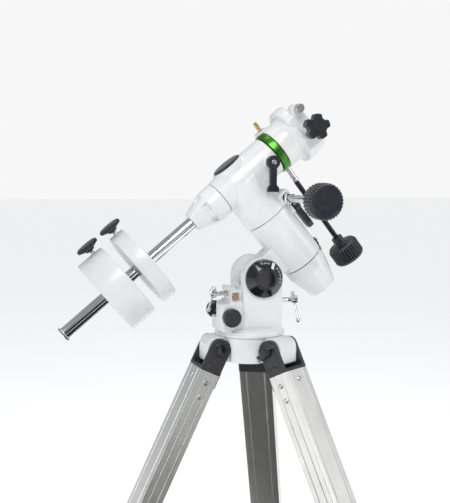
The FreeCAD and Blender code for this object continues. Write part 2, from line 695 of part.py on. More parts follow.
def pole_cap():
    """Black push-in cap on the upper end of the polar axis."""
    outline = [
        (0, 20), ("shaft_radius", 20), ("shaft_radius", 29.8), (22.4, 29.8), (22.4, 31), (19.5, 32.8), (0, 32.8),
    ]
    node("pole_cap", turned(outline), in_head(0, 0, 0))


# ---------------------------------------------------------------- declination axis
def dec_circle():
    """Green setting circle between the housing and the saddle head."""
    outline = [
        (22, "dec_top + 0.8"), ("circle_radius", "dec_top + 0.8"), ("circle_radius", "circle_top"), (22, "circle_top"),
    ]
    node("dec_circle", turned(outline), in_head(0, 0, 0, SOUTH))


def dec_shaft():
    """Declination shaft, pierced where the polar sight line crosses it."""
    shaft = cylinder("dec_shaft", "platform + 34", (-34, 0, 0), SOUTH)
    sight = cylinder(8, 40, (0, 0, -20))
    node("dec_shaft", carved(shaft, sight), in_head(0, 0, 0))


def saddle_head():
    """Round base, worm carrier and a platform with the dovetail groove."""
    base = cylinder("head_radius", "platform - head_base + 1", ("head_base", 0, 0), SOUTH)
    carrier = block(19, 24, 56, ("head_base", 21, -26))
    disc = cylinder("platform_radius", "jaw_top - platform", ("platform", 0, 0), SOUTH)
    slab = block("jaw_top - platform", "2 * jaw_half", "2 * platform_radius",
                 ("platform", "-jaw_half", "-platform_radius"))
    solid = fused(base, carrier, shared(disc, slab))
    groove = block(20, "2 * groove_half", "2 * platform_radius + 2",
                   ("groove_floor", "-groove_half", "-platform_radius - 1"))
    wheel_room = cylinder(31.5, 15, ("head_base - 1", 0, 0), SOUTH)
    worm_room = cylinder("worm_radius + 1.8", 80, ("dec_worm_x", "dec_worm_y", -40))
    shaft_seat = cylinder("dec_shaft", "platform - head_base + 1", ("head_base - 1", 0, 0), SOUTH)
    star_hole = cylinder("4 + fit", 30, ("clamp_x", -15, -3), WEST)
    screw_hole = cylinder("4 + fit", 30, ("clamp_x", -15, 31), WEST)
    casting = carved(solid, groove, wheel_room, worm_room, shaft_seat, star_hole, screw_hole)
    node("saddle_head", casting, in_head(0, 0, 0))


def saddle_knob():
    """Five lobed clamp knob on its screw."""
    stem = cylinder(4, 30, (0, 0, 19))
    disc = cylinder("star_radius - 3.5", 15, (0, 0, 46))
    boss = cylinder(6.5, 18, (0, 0, 44.5))
    lobes = []
    for step in range(5):
        angle = math.radians(90 + 72 * step)
        reach = size("star_radius") - 5
        lobes.append(cylinder(5, 15, (reach * math.cos(angle), reach * math.sin(angle), 46)))
    place = in_head(size("clamp_x"), 0, -3, WEST)
    node("saddle_knob", fused(stem, disc, boss, *lobes), place)


def saddle_screw():
    """Second, smaller clamp screw with a turned metal head."""
    outline = [(0, 19), (4, 19), (4, 41), (6.3, 41), (6.3, 48), (5.5, 49), (0, 49)]
    node("saddle_screw", turned(outline), in_head(size("clamp_x"), 0, 31, WEST))


# ---------------------------------------------------------------- counterweights
def bar_nut():
    """White nut that closes the lower end of the declination housing."""
    outline = [
        ("bar_radius", "dec_foot - seam"), ("nut_radius", "dec_foot - seam"),
        ("nut_radius - 0.8", "nut_shoulder"), ("nut_small", "nut_end"), ("bar_radius", "nut_end"),
    ]
    node("bar_nut", turned(outline), in_head(0, 0, 0, SOUTH))


def counterweight_bar():
    outline = [
        (0, -34), ("bar_radius", -34), ("bar_radius", "bar_end"), (0, "bar_end"),
    ]
    node("counterweight_bar", turned(outline), in_head(0, 0, 0, SOUTH))


def end_stop():
    """Screwed disc that keeps the weights on the bar."""
    outline = [
        (0, "bar_end"), ("stop_radius", "bar_end"), ("stop_radius", "bar_end - 3"),
        ("stop_radius - 0.8", "bar_end - 3.8"), (0, "bar_end - 3.8"),
    ]
    node("end_stop", turned(outline), in_head(0, 0, 0, SOUTH))


def counterweight(label, start, thick, inset):
    """Iron disc with eased edges, a bore for the bar and a bore for the thumbscrew."""
    ring = turned([
        ("bar_radius + fit", 0), ("weight_radius - 1.5", 0), ("weight_radius", -1.5),
        ("weight_radius", f"1.5 - {thick}"), ("weight_radius - 1.5", f"-{thick}"),
        ("bar_radius + fit", f"-{thick}"),
    ])
    hole = cylinder("3 + fit", 80, (0, 0, f"-{inset}"), NORTH)
    node(label, carved(ring, hole), in_head(size(start), 0, 0, SOUTH))


def thumbscrew(label, start, inset):
    """Screw with a wide conical hand knob in the rim of a weight."""
    tip = size("bar_radius") + 0.5
    outline = [
        (0, tip), (3, tip), (3, "weight_radius + 6"), (7, "weight_radius + 7"),
        ("thumb_radius", "weight_radius + 11"), ("thumb_radius", "weight_radius + 14.5"),
        ("thumb_radius - 2", "weight_radius + 16"), (0, "weight_radius + 16"),
    ]
    node(label, turned(outline), in_head(size(start) - size(inset), 0, 0))


# ---------------------------------------------------------------- assembly
def build():
    tripod_head()
    leg_hinge_bolts()
    azimuth_peg()
    centre_lock_bolt()
    for name, angle in LEGS.items():
        frame = leg_frame(angle)
        for make in (leg_bracket, leg_rail, leg_clamp, leg_lock_knob, leg_extension, leg_foot):
            make(name, frame)
    base_casting()
    latitude_axle()
    latitude_dial()
    azimuth_screw("azimuth_screw_west", WEST)
    azimuth_screw("azimuth_screw_east", EAST)
    north_tip = size("tilt_x") - size("tongue_half") - size("north_gap")
    south_tip = size("tilt_x") + size("tongue_half") + size("south_gap")
    for side, direction, tip in (("north", NORTH, north_tip), ("south", SOUTH, south_tip)):
        frame = bolt_frame(side, direction, tip)
        latitude_bolt(side, frame)
        tommy_bar(side, frame)
    polar_housing()
    polar_cover()
    ra_circle()
    ra_pointer()
    ra_pivot = FreeCAD.Placement(V(size("polar_radius") + 2, -8, -78), facing(SOUTH, UP))
    clutch_lever("ra_lever", HEAD.multiply(ra_pivot), 8, 9, 12)
    dec_pivot = HEAD.multVec(V(45, -33, -3))
    clutch_lever("dec_lever", FreeCAD.Placement(dec_pivot, facing(WEST, UP)), 6, 7, 17)
    declination_housing()
    ra_shaft()
    worm_wheel("ra_wheel", "shaft_radius", "28", in_head(0, 0, size("ra_worm_z")))
    pole_cap()
    dec_circle()
    set_over = math.radians(size("worm_set"))
    ra_way = (0, -math.cos(set_over), -math.sin(set_over))
    ra_line = in_head(size("ra_worm_x"), 0, size("ra_worm_z"), ra_way)
    worm("ra_worm", -27, 45, ra_line)
    slow_shaft("ra_slow_shaft", 34, 110, 132, ra_line)
    slow_knob("ra_knob", 122, ra_line)
    dec_way = (-math.sin(set_over), 0, -math.cos(set_over))
    dec_line = in_head(size("dec_worm_x"), size("dec_worm_y"), 0, dec_way)
    worm("dec_worm", -44, 45, dec_line)
    slow_shaft("dec_slow_shaft", 34, 62, 180, dec_line)
    slow_knob("dec_knob", 170, dec_line)
    dec_shaft()
    worm_wheel("dec_wheel", "dec_shaft", "31", in_head(size("dec_worm_x") - 2, 0, 0, SOUTH))
    saddle_head()
    saddle_knob()
    saddle_screw()
    bar_nut()
    counterweight_bar()
    end_stop()
    for weight in ("small", "large"):
        counterweight("weight_" + weight, weight + "_start", weight + "_thick", weight + "_screw")
        thumbscrew("thumbscrew_" + weight, weight + "_start", weight + "_screw")


def checked():
    """Stop if any object failed or any sub-part is empty or broken."""
    doc.recompute()
    for item in doc.Objects:
        if "Invalid" in item.State or "Error" in item.State:
            raise RuntimeError(f"{item.Name} ({item.Label}) is {item.State}")
    for item in NODES:
        if item.Shape.isNull() or not item.Shape.isValid():
            raise RuntimeError(f"{item.Label} has no valid shape")


build()
checked()
os.makedirs("parts", exist_ok=True)
for item in NODES:
    item.Shape.exportStep(os.path.join("parts", item.Label + ".step"))
print(len(NODES), "sub-parts written")
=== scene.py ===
"""Looks of the equatorial mount: detailed pieces, procedural materials, studio and camera.

Pieces are drawn in millimetres in their own frames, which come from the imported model's joints:
TOP stands on the centre of the tripod head, HEAD on the crossing of the axes (x up the
declination axis, z up the polar axis), and each leg's frame on its hinge (z up the leg).
"""
import json
import math

import bmesh
import bpy
from mathutils import Matrix, Vector


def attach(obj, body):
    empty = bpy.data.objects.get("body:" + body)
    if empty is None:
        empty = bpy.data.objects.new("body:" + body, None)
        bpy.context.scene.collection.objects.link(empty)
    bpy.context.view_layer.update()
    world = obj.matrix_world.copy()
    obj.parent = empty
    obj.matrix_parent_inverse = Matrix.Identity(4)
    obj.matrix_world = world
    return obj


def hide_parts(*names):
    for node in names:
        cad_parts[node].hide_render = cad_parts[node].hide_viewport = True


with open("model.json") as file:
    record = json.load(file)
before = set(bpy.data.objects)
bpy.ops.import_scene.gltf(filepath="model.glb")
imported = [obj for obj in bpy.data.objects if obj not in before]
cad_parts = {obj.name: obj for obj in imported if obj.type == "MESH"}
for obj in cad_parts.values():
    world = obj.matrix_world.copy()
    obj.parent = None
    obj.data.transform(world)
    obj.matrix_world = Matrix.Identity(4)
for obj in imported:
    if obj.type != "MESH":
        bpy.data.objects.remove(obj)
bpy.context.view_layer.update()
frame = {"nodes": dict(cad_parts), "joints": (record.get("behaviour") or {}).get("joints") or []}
JOINTS = {joint["name"]: joint for joint in frame["joints"]}
MM = 0.001
UP = Vector((0, 0, 1))
SOUTH, NORTH = Vector((1, 0, 0)), Vector((-1, 0, 0))
EAST, WEST = Vector((0, 1, 0)), Vector((0, -1, 0))


# ---------------------------------------------------------------- frames
def axes(origin, z_axis, x_axis):
    """A frame in metres from its origin, its z and roughly its x."""
    z = Vector(z_axis).normalized()
    y = z.cross(Vector(x_axis)).normalized()
    x = y.cross(z)
    turn = Matrix((x, y, z)).transposed().to_4x4()
    return Matrix.Translation(Vector(origin)) @ turn


def inside(parent, x, y, z, z_axis=UP, x_axis=None):
    """A frame from millimetres and directions in a parent frame."""
    if x_axis is None:
        x_axis = SOUTH if abs(Vector(z_axis).x) < 0.9 else UP
    return parent @ axes(Vector((x, y, z)) * MM, z_axis, x_axis)


def joint_frame(name, x_axis):
    return axes(JOINTS[name]["pos_m"], JOINTS[name]["axis"], x_axis)


TOP = axes(JOINTS["azimuth_turn"]["pos_m"], UP, SOUTH)
HEAD = axes(JOINTS["ra_turn"]["pos_m"], JOINTS["ra_turn"]["axis"], JOINTS["dec_turn"]["axis"])
DEC = inside(HEAD, 0, 0, 0, SOUTH, NORTH.cross(EAST))
LEGS = ("north", "west", "east")


def leg_frame(name):
    """Origin on the hinge, x outwards, y along the hinge, z up the leg."""
    down = Vector(JOINTS[f"leg_{name}_extend"]["axis"])
    side = Vector(JOINTS[f"leg_{name}_fold"]["axis"])
    return axes(JOINTS[f"leg_{name}_fold"]["pos_m"], -down, side.cross(-down))


# ---------------------------------------------------------------- mesh tools
def eased(corners, closed, ease, steps=4):
    """An outline with rounded corners; a corner's third number is its own rounding."""
    path = []
    count = len(corners)
    for index, corner in enumerate(corners):
        here = Vector(corner[:2])
        own = corner[2] if len(corner) > 2 else ease
        if own <= 0 or (not closed and index in (0, count - 1)):
            path.append(here)
            continue
        back = Vector(corners[index - 1][:2]) - here
        ahead = Vector(corners[(index + 1) % count][:2]) - here
        bend = back.angle(ahead)
        if bend > math.pi - 0.02:
            path.append(here)
            continue
        reach = min(own / math.tan(bend / 2), 0.48 * back.length, 0.48 * ahead.length)
        start, end = here + back.normalized() * reach, here + ahead.normalized() * reach
        for step in range(steps + 1):
            t = step / steps
            path.append(start * (1 - t) ** 2 + here * 2 * t * (1 - t) + end * t ** 2)
    return path


def lathe(corners, ease=0.6, steps=96, closed=False, wave=None):
    """A body of revolution about z from (radius, height) corners; wave(angle, r, z) changes the radius."""
    mesh = bmesh.new()
    rings = []
    for radius, height in eased(corners, closed, ease):
        if radius < 1e-4:
            rings.append([mesh.verts.new((0, 0, height))])
            continue
        ring = []
        for step in range(steps):
            angle = math.tau * step / steps
            r = wave(angle, radius, height) if wave else radius
            ring.append(mesh.verts.new((r * math.cos(angle), r * math.sin(angle), height)))
        rings.append(ring)
    pairs = list(zip(rings, rings[1:] + rings[:1])) if closed else list(zip(rings, rings[1:]))
    for low, high in pairs:
        for step in range(steps):
            after = (step + 1) % steps
            if len(low) == 1 and len(high) == 1:
                continue
            if len(low) == 1:
                mesh.faces.new((low[0], high[after], high[step]))
            elif len(high) == 1:
                mesh.faces.new((low[step], low[after], high[0]))
            else:
                mesh.faces.new((low[step], low[after], high[after], high[step]))
    bmesh.ops.recalc_face_normals(mesh, faces=mesh.faces)
    return mesh


def prism(corners, low, high, round_off=0.0, bevel=0.5, steps=5):
    """A slab with a given outline in x and y between two heights, its edges bevelled."""
    mesh = bmesh.new()
    outline = eased(corners, True, round_off, steps)
    bottom = [mesh.verts.new((x, y, low)) for x, y in outline]
    top = [mesh.verts.new((x, y, high)) for x, y in outline]
    mesh.faces.new(bottom)
    mesh.faces.new(top)
    for index in range(len(outline)):
        after = (index + 1) % len(outline)
        mesh.faces.new((bottom[index], bottom[after], top[after], top[index]))
    bmesh.ops.recalc_face_normals(mesh, faces=mesh.faces)
    if bevel > 0:
        rims = [edge for edge in mesh.edges if edge.verts[0].co.z == edge.verts[1].co.z]
        sharp = [] if round_off > 0 else [edge for edge in mesh.edges if edge not in rims]
        bmesh.ops.bevel(mesh, geom=rims + sharp, offset=bevel, segments=3, profile=0.6, affect="EDGES",
                        clamp_overlap=True)
    return mesh


def rectangle(length, width, x=0.0, y=0.0):
    a, b = length / 2, width / 2
    return [(x - a, y - b), (x + a, y - b), (x + a, y + b), (x - a, y + b)]


def brick(low, high, bevel=0.5, round_off=0.0):
    """A block between two corners."""
    middle = ((low[0] + high[0]) / 2, (low[1] + high[1]) / 2)
    return prism(rectangle(high[0] - low[0], high[1] - low[1], *middle), low[2], high[2], round_off, bevel)


def rod(radius, low, high, ease=0.4, steps=48):
    return lathe([(0, low), (radius, low), (radius, high), (0, high)], ease, steps)


def ball(radius, z=0.0, steps=32):
    half = steps // 2
    arc = [(radius * math.sin(math.pi * i / half),
            z - radius * math.cos(math.pi * i / half)) for i in range(half + 1)]
    return lathe(arc, 0, steps)


def hexagon(across, low, high):
    corner = across / math.sqrt(3)
    points = [(corner * math.cos(math.pi * k / 3), corner * math.sin(math.pi * k / 3)) for k in range(6)]
    return prism(points, low, high, 0.6, 0.5, 2)


def moved(mesh, x=0.0, y=0.0, z=0.0, z_axis=None, x_axis=None):
    """The same mesh at a place in millimetres, its z turned to a direction."""
    if z_axis is not None:
        if x_axis is None:
            x_axis = SOUTH if abs(Vector(z_axis).x) < 0.9 else UP
        mesh.transform(axes((0, 0, 0), z_axis, x_axis))
    mesh.transform(Matrix.Translation((x, y, z)))
    return mesh


def spun(mesh, degrees):
    mesh.transform(Matrix.Rotation(math.radians(degrees), 4, "Z"))
    return mesh


def to_object(name, meshes):
    """One Blender object from one or more bmeshes, still in millimetres."""
    data = bpy.data.meshes.new(name)
    whole = bmesh.new()
    for mesh in meshes:
        part = bpy.data.meshes.new("part")
        mesh.to_mesh(part)
        whole.from_mesh(part)
        bpy.data.meshes.remove(part)
        mesh.free()
    whole.to_mesh(data)
    whole.free()
    thing = bpy.data.objects.new(name, data)
    bpy.context.scene.collection.objects.link(thing)
    return thing


def applied(thing):
    """Bake an object's modifiers into its mesh."""
    graph = bpy.context.evaluated_depsgraph_get()
    data = bpy.data.meshes.new_from_object(thing.evaluated_get(graph))
    thing.modifiers.clear()
    thing.data = data
    return thing


def cast(name, solids, cuts=(), grain=0.9, soften=6):
    """A casting: solids joined, cuts taken out, then every edge and joint softened."""
    thing = to_object(name, [solids[0]])
    steps = [("UNION", mesh) for mesh in solids[1:]] + [("DIFFERENCE", mesh) for mesh in cuts]
    tools = []
    for operation, mesh in steps:
        tool = to_object("tool", [mesh])
        tools.append(tool)
        change = thing.modifiers.new("join", "BOOLEAN")
        change.operation = operation
        change.solver = "EXACT"
        change.object = tool
    if grain:
        remesh = thing.modifiers.new("grain", "REMESH")
        remesh.mode = "VOXEL"
        remesh.voxel_size = grain
        smooth = thing.modifiers.new("soften", "SMOOTH")
        smooth.iterations = soften
        smooth.factor = 0.5
    applied(thing)
    for tool in tools:
        bpy.data.objects.remove(tool)
    if not thing.data.polygons:
        raise RuntimeError(name + " came out empty")
    return thing


def finish_piece(thing, place, material, body, nodes=(), angle=35):
    """Put a piece in its frame, in metres, with its material, body and the nodes it stands for."""
    thing.data.transform(place @ Matrix.Scale(MM, 4))
    thing.data.materials.clear()
    thing.data.materials.append(material)
    thing.data.shade_smooth()
    thing.data.set_sharp_from_angle(angle=math.radians(angle))
    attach(thing, body)
    if nodes:
        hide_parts(*nodes)
    return thing


def piece(name, meshes, place, material, body, nodes=(), angle=35):
    return finish_piece(to_object(name, meshes), place, material, body, nodes, angle)


# ---------------------------------------------------------------- materials
def shader(name, colour, roughness, metallic=0.0, coat=0.0, specular=0.5):
    """A node material; returns it with its tree and shader."""
    material = bpy.data.materials.new(name)
    material.use_nodes = True
    tree = material.node_tree
    surface = tree.nodes["Principled BSDF"]
    surface.inputs["Base Color"].default_value = (*colour, 1)
    surface.inputs["Roughness"].default_value = roughness
    surface.inputs["Metallic"].default_value = metallic
    surface.inputs["Coat Weight"].default_value = coat
    surface.inputs["Coat Roughness"].default_value = 0.08
    surface.inputs["Specular IOR Level"].default_value = specular
    return material, tree, surface


def noise(tree, scale, detail=3.0, stretch=(1, 1, 1), rough=0.5):
    """A noise texture in object space, in cycles a metre."""
    place = tree.nodes.new("ShaderNodeTexCoord")
    fit = tree.nodes.new("ShaderNodeMapping")
    fit.inputs["Scale"].default_value = stretch
    texture = tree.nodes.new("ShaderNodeTexNoise")
    texture.inputs["Scale"].default_value = scale
    texture.inputs["Detail"].default_value = detail
    texture.inputs["Roughness"].default_value = rough
    tree.links.new(place.outputs["Object"], fit.inputs["Vector"])
    tree.links.new(fit.outputs["Vector"], texture.inputs["Vector"])
    return texture.outputs["Fac"]


def ramp(tree, source, low, high, start=0.3, end=0.7):
    """Map a value to colours between two ends."""
    node = tree.nodes.new("ShaderNodeValToRGB")
    node.color_ramp.elements[0].position = start
    node.color_ramp.elements[1].position = end
    node.color_ramp.elements[0].color = (*low, 1)
    node.color_ramp.elements[1].color = (*high, 1)
    tree.links.new(source, node.inputs["Fac"])
    return node.outputs["Color"]


def spread(tree, source, low, high):
    """Map 0..1 to a range."""
    node = tree.nodes.new("ShaderNodeMapRange")
    node.inputs["From Min"].default_value = 0.3
    node.inputs["From Max"].default_value = 0.7
    node.inputs["To Min"].default_value = low
    node.inputs["To Max"].default_value = high
    tree.links.new(source, node.inputs["Value"])
    return node.outputs["Result"]


def bump(tree, surface, heights):
    """Bumps from (source, strength, depth in metres) layers, the broadest first."""
    normal = None
    for source, strength, depth in heights:
        node = tree.nodes.new("ShaderNodeBump")
        node.inputs["Strength"].default_value = strength
        node.inputs["Distance"].default_value = depth
        tree.links.new(source, node.inputs["Height"])
        if normal is not None:
            tree.links.new(normal, node.inputs["Normal"])
        normal = node.outputs["Normal"]
    tree.links.new(normal, surface.inputs["Normal"])


def tinted(tree, surface, source, low, high):
    tree.links.new(ramp(tree, source, low, high), surface.inputs["Base Color"])


def enamel(name, low, high, peel):
    """White gloss enamel over a casting: faint mottling and orange peel."""
    material, tree, surface = shader(name, high, 0.3, coat=0.35)
    tinted(tree, surface, noise(tree, 22, 4), low, high)
    tree.links.new(spread(tree, noise(tree, 60, 4), 0.26, 0.36), surface.inputs["Roughness"])
    bump(tree, surface, [(noise(tree, 45, 2), 0.25, 0.0006), (noise(tree, 520, 2), peel, 0.0002)])
    return material


def metal(name, low, high, rough, stretch, scale, grain):
    """Machined or drawn metal with tool marks along a direction."""
    material, tree, surface = shader(name, high, rough[0], 1.0)
    marks = noise(tree, scale, 4, stretch)
    tinted(tree, surface, noise(tree, 30, 3), low, high)
    tree.links.new(spread(tree, marks, *rough), surface.inputs["Roughness"])
    bump(tree, surface, [(marks, grain, 0.00015)])
    return material


def plastic(name, low, high, rough, grain, coat=0.0):
    """Moulded plastic with a fine grain and paler worn patches."""
    material, tree, surface = shader(name, high, rough[0], coat=coat)
    tinted(tree, surface, noise(tree, 40, 5), low, high)
    tree.links.new(spread(tree, noise(tree, 140, 4), *rough), surface.inputs["Roughness"])
    bump(tree, surface, [(noise(tree, 1400, 2), grain, 0.00012)])
    return material


PAINT = enamel("white_enamel", (0.70, 0.705, 0.715), (0.78, 0.785, 0.795), 0.12)
IRON = enamel("white_iron_enamel", (0.65, 0.655, 0.66), (0.73, 0.735, 0.74), 0.2)
CHROME = metal("polished_chrome", (0.72, 0.73, 0.76), (0.86, 0.86, 0.88), (0.05, 0.11), (1, 1, 1), 90, 0.02)
STEEL = metal("turned_steel", (0.50, 0.50, 0.52), (0.66, 0.66, 0.67), (0.22, 0.38), (1, 1, 6), 400, 0.15)
BRASS = metal("machined_brass", (0.62, 0.47, 0.20), (0.78, 0.62, 0.30), (0.2, 0.34), (1, 1, 6), 380, 0.15)
GREEN = metal("green_anodised", (0.045, 0.21, 0.02), (0.09, 0.33, 0.04), (0.26, 0.36), (6, 6, 1), 260, 0.1)
COPPER = metal("warm_brass", (0.70, 0.42, 0.26), (0.82, 0.55, 0.36), (0.22, 0.36), (1, 1, 4), 300, 0.1)
BLACK = plastic("black_moulded", (0.014, 0.014, 0.021), (0.024, 0.025, 0.035), (0.22, 0.32), 0.25)
GLOSS = plastic("black_gloss", (0.006, 0.006, 0.008), (0.010, 0.010, 0.013), (0.1, 0.18), 0.05, 0.5)
BRACKET = plastic("dark_bracket", (0.022, 0.022, 0.028), (0.034, 0.034, 0.043), (0.3, 0.42), 0.3)
CABLE = metal("oiled_cable", (0.03, 0.03, 0.034), (0.07, 0.07, 0.076), (0.3, 0.45), (1, 1, 1), 500, 0.2)
LEG = metal("satin_aluminium", (0.80, 0.80, 0.78), (0.88, 0.88, 0.86), (0.34, 0.46), (1, 1, 0.04), 900, 0.12)
RUBBER = plastic("foot_rubber", (0.018, 0.018, 0.018), (0.030, 0.030, 0.030), (0.7, 0.85), 0.5)
INK = plastic("white_ink", (0.72, 0.72, 0.72), (0.80, 0.80, 0.80), (0.4, 0.55), 0.1)


# ---------------------------------------------------------------- tripod
def outward(name):
    """Level direction from the azimuth axis to a leg."""
    lean = leg_frame(name).to_3x3() @ SOUTH
    return Vector((lean.x, lean.y, 0)).normalized()


HUB = axes(TOP.to_translation(), UP, -outward("north"))
LEG_TURNS = (180, 300, 60)


def upright(mesh):
    """Stand an outline drawn in x and z up, so that it is thick along y."""
    return moved(mesh, z_axis=WEST, x_axis=SOUTH)


def build_tripod_head():
    lobes, seats = [], []
    for turn in LEG_TURNS:
        side = [(0, -36, 0), (70, -36, 3), (70, 0, 16), (0, 0, 0)]
        lobes.append(spun(upright(prism(side, -19, 19, bevel=1.4, round_off=0.1)), turn))
        seats.append(spun(brick((36, -12, -60), (66, 12, -31), 0.2), turn))
        for low, high in ((19, 27), (-27, -19)):
            notch = [(37.3, -70, 0), (68.7, -70, 0), (68.7, -17, 0), (64, -5.8, 0), (53, -1.2, 0),
                     (42, -5.8, 0), (37.3, -17, 0)]
            seats.append(spun(upright(prism(notch, low, high, 0.1, 0)), turn))
    hub = rod(47, -36, 0, 1.5, 128)
    hollow = rod(35, -60, -12, 0.2, 96)
    bore = rod(6, -20, 5, 0.1)
    casting = cast("tripod_head_casting", [hub, *lobes], [hollow, bore, *seats], 0.9, 5)
    finish_piece(casting, HUB, PAINT, "tripod", ["tripod_head"])


def build_hinge_bolts():
    bolts = []
    for name in LEGS:
        local = HUB.inverted() @ leg_frame(name)
        for side in (EAST, WEST):
            parts = [rod(4.8, 0, 27), lathe([(0, 26.6), (7.8, 26.6), (7.8, 27.8), (0, 27.8)], 0.4),
                     hexagon(12.6, 27.6, 30.4),
                     rod(4.2, 30.2, 30.8)]
            for mesh in parts:
                moved(mesh, z_axis=side)
                mesh.transform(Matrix.Scale(MM, 4))
                mesh.transform(local)
                mesh.transform(Matrix.Scale(1 / MM, 4))
                bolts.append(mesh)
    piece("hinge_bolts", bolts, HUB, GLOSS, "tripod", ["leg_hinge_bolts"])
    wing = [(2, -4, 0), (9, -3.4, 2), (14, -7.4, 2), (16.4, -4.6, 2), (13, 4, 3), (6, 5.4, 3), (2, 4, 0)]
    parts = [lathe([(0, 26.8), (7.6, 26.8), (6.6, 33, 1), (0, 34)], 0.4, 48), hexagon(7.6, 33, 35.4),
             prism(wing, 28.4, 34, 0.6, 0.8), spun(prism(wing, 28.4, 34, 0.6, 0.8), 180)]
    for mesh in parts:
        spun(mesh, 28)
    place = inside(leg_frame("west"), 0, 0, 0, WEST)
    piece("wing_nut", parts, place, BLACK, "tripod")


def build_centre_lock():
    def ribs(angle, r, z):
        return r - 0.5 * (1 + math.cos(24 * angle)) if r > 14.5 and z < -19 else r
    outline = [(0, 22), (4.9, 22), (4.9, -12.4), (14, -12.4), (14, -18), (17, -20, 2), (17, -33, 2),
               (15, -35.4, 1.5),
               (0, -35.5)]
    piece("centre_lock_knob", [lathe(outline, 0.5, 192, wave=ribs)], TOP, BLACK, "centre_lock",
          ["centre_lock_bolt"])


# ---------------------------------------------------------------- legs
def grooved(length, width, groove, depth, on_length, on_width):
    """A rectangle with V grooves at given places along its sides."""
    a, b = length / 2, width / 2
    path = [(-a, -b, 1.2)]
    for x in on_length:
        path += [(x - groove, -b, 0), (x, -b + depth, 0), (x + groove, -b, 0)]
    path.append((a, -b, 1.2))
    for y in on_width:
        path += [(a, y - groove, 0), (a - depth, y, 0), (a, y + groove, 0)]
    path.append((a, b, 1.2))
    for x in reversed(on_length):
        path += [(x + groove, b, 0), (x, b - depth, 0), (x - groove, b, 0)]
    path.append((-a, b, 1.2))
    for y in reversed(on_width):
        path += [(-a, y + groove, 0), (-a + depth, y, 0), (-a, y - groove, 0)]
    return path


def tube(name, outline, inner, low, high):
    """An extruded tube, open at both ends."""
    thing = cast(name, [prism(outline, low, high, 0, 0)], [prism(inner, low - 2, high + 2, 0, 0)], None)
    return thing


